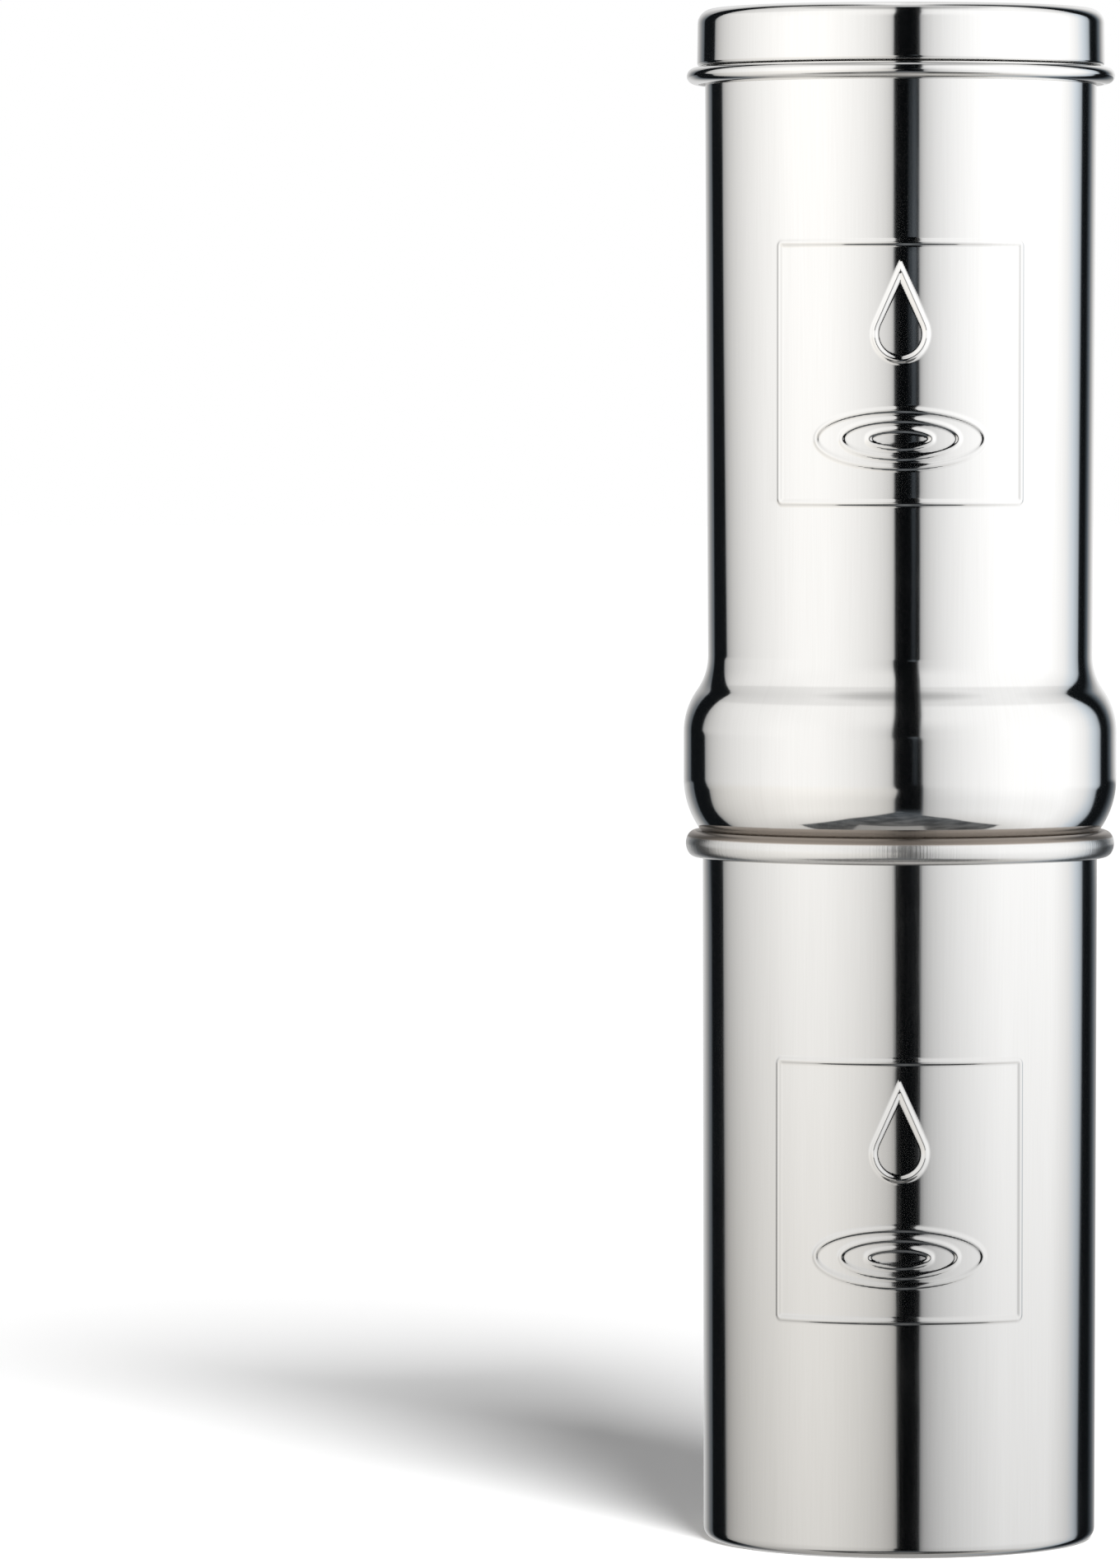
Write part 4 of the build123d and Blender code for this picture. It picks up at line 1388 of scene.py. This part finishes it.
depth = (-z).held(0.05, 1.0)
ahead, aside = -y / depth, x / depth
far_aside = aside.math("ABSOLUTE", aside)
mat = (ahead + far_aside * 0.97).rise(1.46, 1.4) * (ahead + far_aside * 1.81).rise(1.94, 1.88)
mat = mat * ahead.rise(0.25, 0.29) * elevation.rise(-20, -25)
clutter = room.noise(room.vector(aside * 5, ahead * 9, 0), 1.0, 3.0).rise(0.35, 0.7)
sheet = lamp(aside, -0.38, 0.21, 0.015) * lamp(ahead, 0.45, 0.66, 0.015)
table, ceiling = elevation.rise(-30, -64), elevation.rise(72, 85)
seen_below = ((table, 0.56), (mat, 0.07 + clutter * 0.1), (sheet, 0.36), (ceiling, 0.6))
for share, brightness in seen_below:
    bands = bands * (1 - share) + share * brightness
bands = bands + 0.003 + azimuth.math("ABSOLUTE", azimuth).rise(60, 120) * 0.005
print("room ready:", len(room.tree.nodes), "nodes")

# %% [markdown]
# The softboxes are a little warm on the left, more so low down, and cool at the right edge. What
# is dark has a cool tint. Only glossy rays see any of this.

# %% World: what each kind of ray sees
AMBIENT, KEY = 0.18, 0.82
WHITE, WARM, COOL = (1.0, 1.0, 1.0), (1.0, 0.978, 0.94), (0.72, 0.86, 1.0, 1.0)

path = room.node("ShaderNodeLightPath")
is_camera, is_glossy = (Number(room, path.outputs[n]) for n in ("Is Camera Ray", "Is Glossy Ray"))
level = is_camera + (1 - is_camera) * (is_glossy * bands + (1 - is_glossy) * AMBIENT)
warm = (left_share + table).held(0.0, 1.0) * (0.8 + elevation.rise(-2.5, -6) * 1.2)
cool = lamp(azimuth, 122, 150, 7) * elevation.rise(40, 20) * 0.6
dark = (1 - bands.rise(0.0, 0.4)) * (1 - table)
warmed = room.colours((is_glossy * warm * 0.5).held(0.0, 1.0), WHITE, WARM)
tint = room.mix((is_glossy * (dark + cool)).held(0.0, 1.0), warmed, COOL)
light = {"Color": tint, "Strength": level}
room.end(room.node("ShaderNodeBackground", inputs=light), "World")
print("world:", len(room.tree.nodes), "nodes")

# %% [markdown]
# The key light stands in front on the right, low enough to throw a long shadow to the back left.
# A sun with a wide disc has the soft edge of a softbox and lights the floor evenly. The camera
# sees the floor as plain white from above and sees through it from below. It stands far away with
# a long lens, and it aims a little to the left, so that the object stands right of the middle.

# %% Key light and floor
KEY_AZIMUTH, KEY_ELEVATION, KEY_WIDTH = 19.0, 36.6, 20.0
FLOOR_SHADE, FLOOR_LEVEL, FLOOR_SIZE = 0.8, 1.06, 30.0


def aimed(name, data, aim):
    """An object in the scene that looks along a direction."""
    made = bpy.data.objects.new(name, data)
    made.rotation_mode = "QUATERNION"
    made.rotation_quaternion = aim.to_track_quat("-Z", "Y")
    bpy.context.scene.collection.objects.link(made)
    return made


def towards(azimuth_degrees, elevation_degrees):
    """A direction from the object, with azimuth 0 towards the camera."""
    a, e = math.radians(azimuth_degrees), math.radians(elevation_degrees)
    return Vector((math.sin(a) * math.cos(e), -math.cos(a) * math.cos(e), math.sin(e)))


key_light = bpy.data.lights.new("key_light", "SUN")
key_light.energy, key_light.angle = KEY * math.pi, math.radians(KEY_WIDTH)
key = aimed("key_light", key_light, -towards(KEY_AZIMUTH, KEY_ELEVATION))
key.visible_glossy = False

floor_material = bpy.data.materials.new("studio_floor")
paint = Shader(floor_material)
seen = Number(paint, paint.node("ShaderNodeLightPath").outputs["Is Camera Ray"])
below = Number(paint, paint.node("ShaderNodeNewGeometry").outputs["Backfacing"])
floor_light = AMBIENT + KEY * math.sin(math.radians(KEY_ELEVATION))
shade = FLOOR_SHADE + seen * (FLOOR_LEVEL / floor_light - FLOOR_SHADE)
white = paint.node("ShaderNodeBsdfDiffuse", inputs={"Color": shade})
clear = paint.node("ShaderNodeBsdfTransparent")
shown = {0: below, 1: white.outputs[0], 2: clear.outputs[0]}
paint.end(paint.node("ShaderNodeMixShader", inputs=shown))

ground = bmesh.new()
bmesh.ops.create_grid(ground, x_segments=1, y_segments=1, size=FLOOR_SIZE)
floor = to_object(ground, "studio_floor")
floor.data.materials.append(floor_material)
floor.visible_glossy = False
print(f"floor light: {floor_light:.3f}")

# %% Camera
WIDTH, HEIGHT, FOCAL, AXIS_COLUMN, EYE_ROW = 1360, 1904, 11800.0, 1093, 492  # pixels
EYE, DISTANCE = 0.42, 3.6

camera_data = bpy.data.cameras.new("camera")
camera_data.lens = FOCAL / HEIGHT * camera_data.sensor_width
pan = math.atan2(AXIS_COLUMN - WIDTH / 2, FOCAL)
tilt = math.atan2(HEIGHT / 2 - EYE_ROW, FOCAL)
aim = Vector((-math.sin(pan) * math.cos(tilt), math.cos(pan) * math.cos(tilt), -math.sin(tilt)))
camera = aimed("camera", camera_data, aim)
camera.location = (0.0, -DISTANCE, EYE)
bpy.context.scene.camera = camera
bpy.context.scene.view_settings.view_transform = "Standard"
print(f"lens {camera_data.lens:.1f} mm, pan {math.degrees(pan):.2f}, tilt {math.degrees(tilt):.2f}")
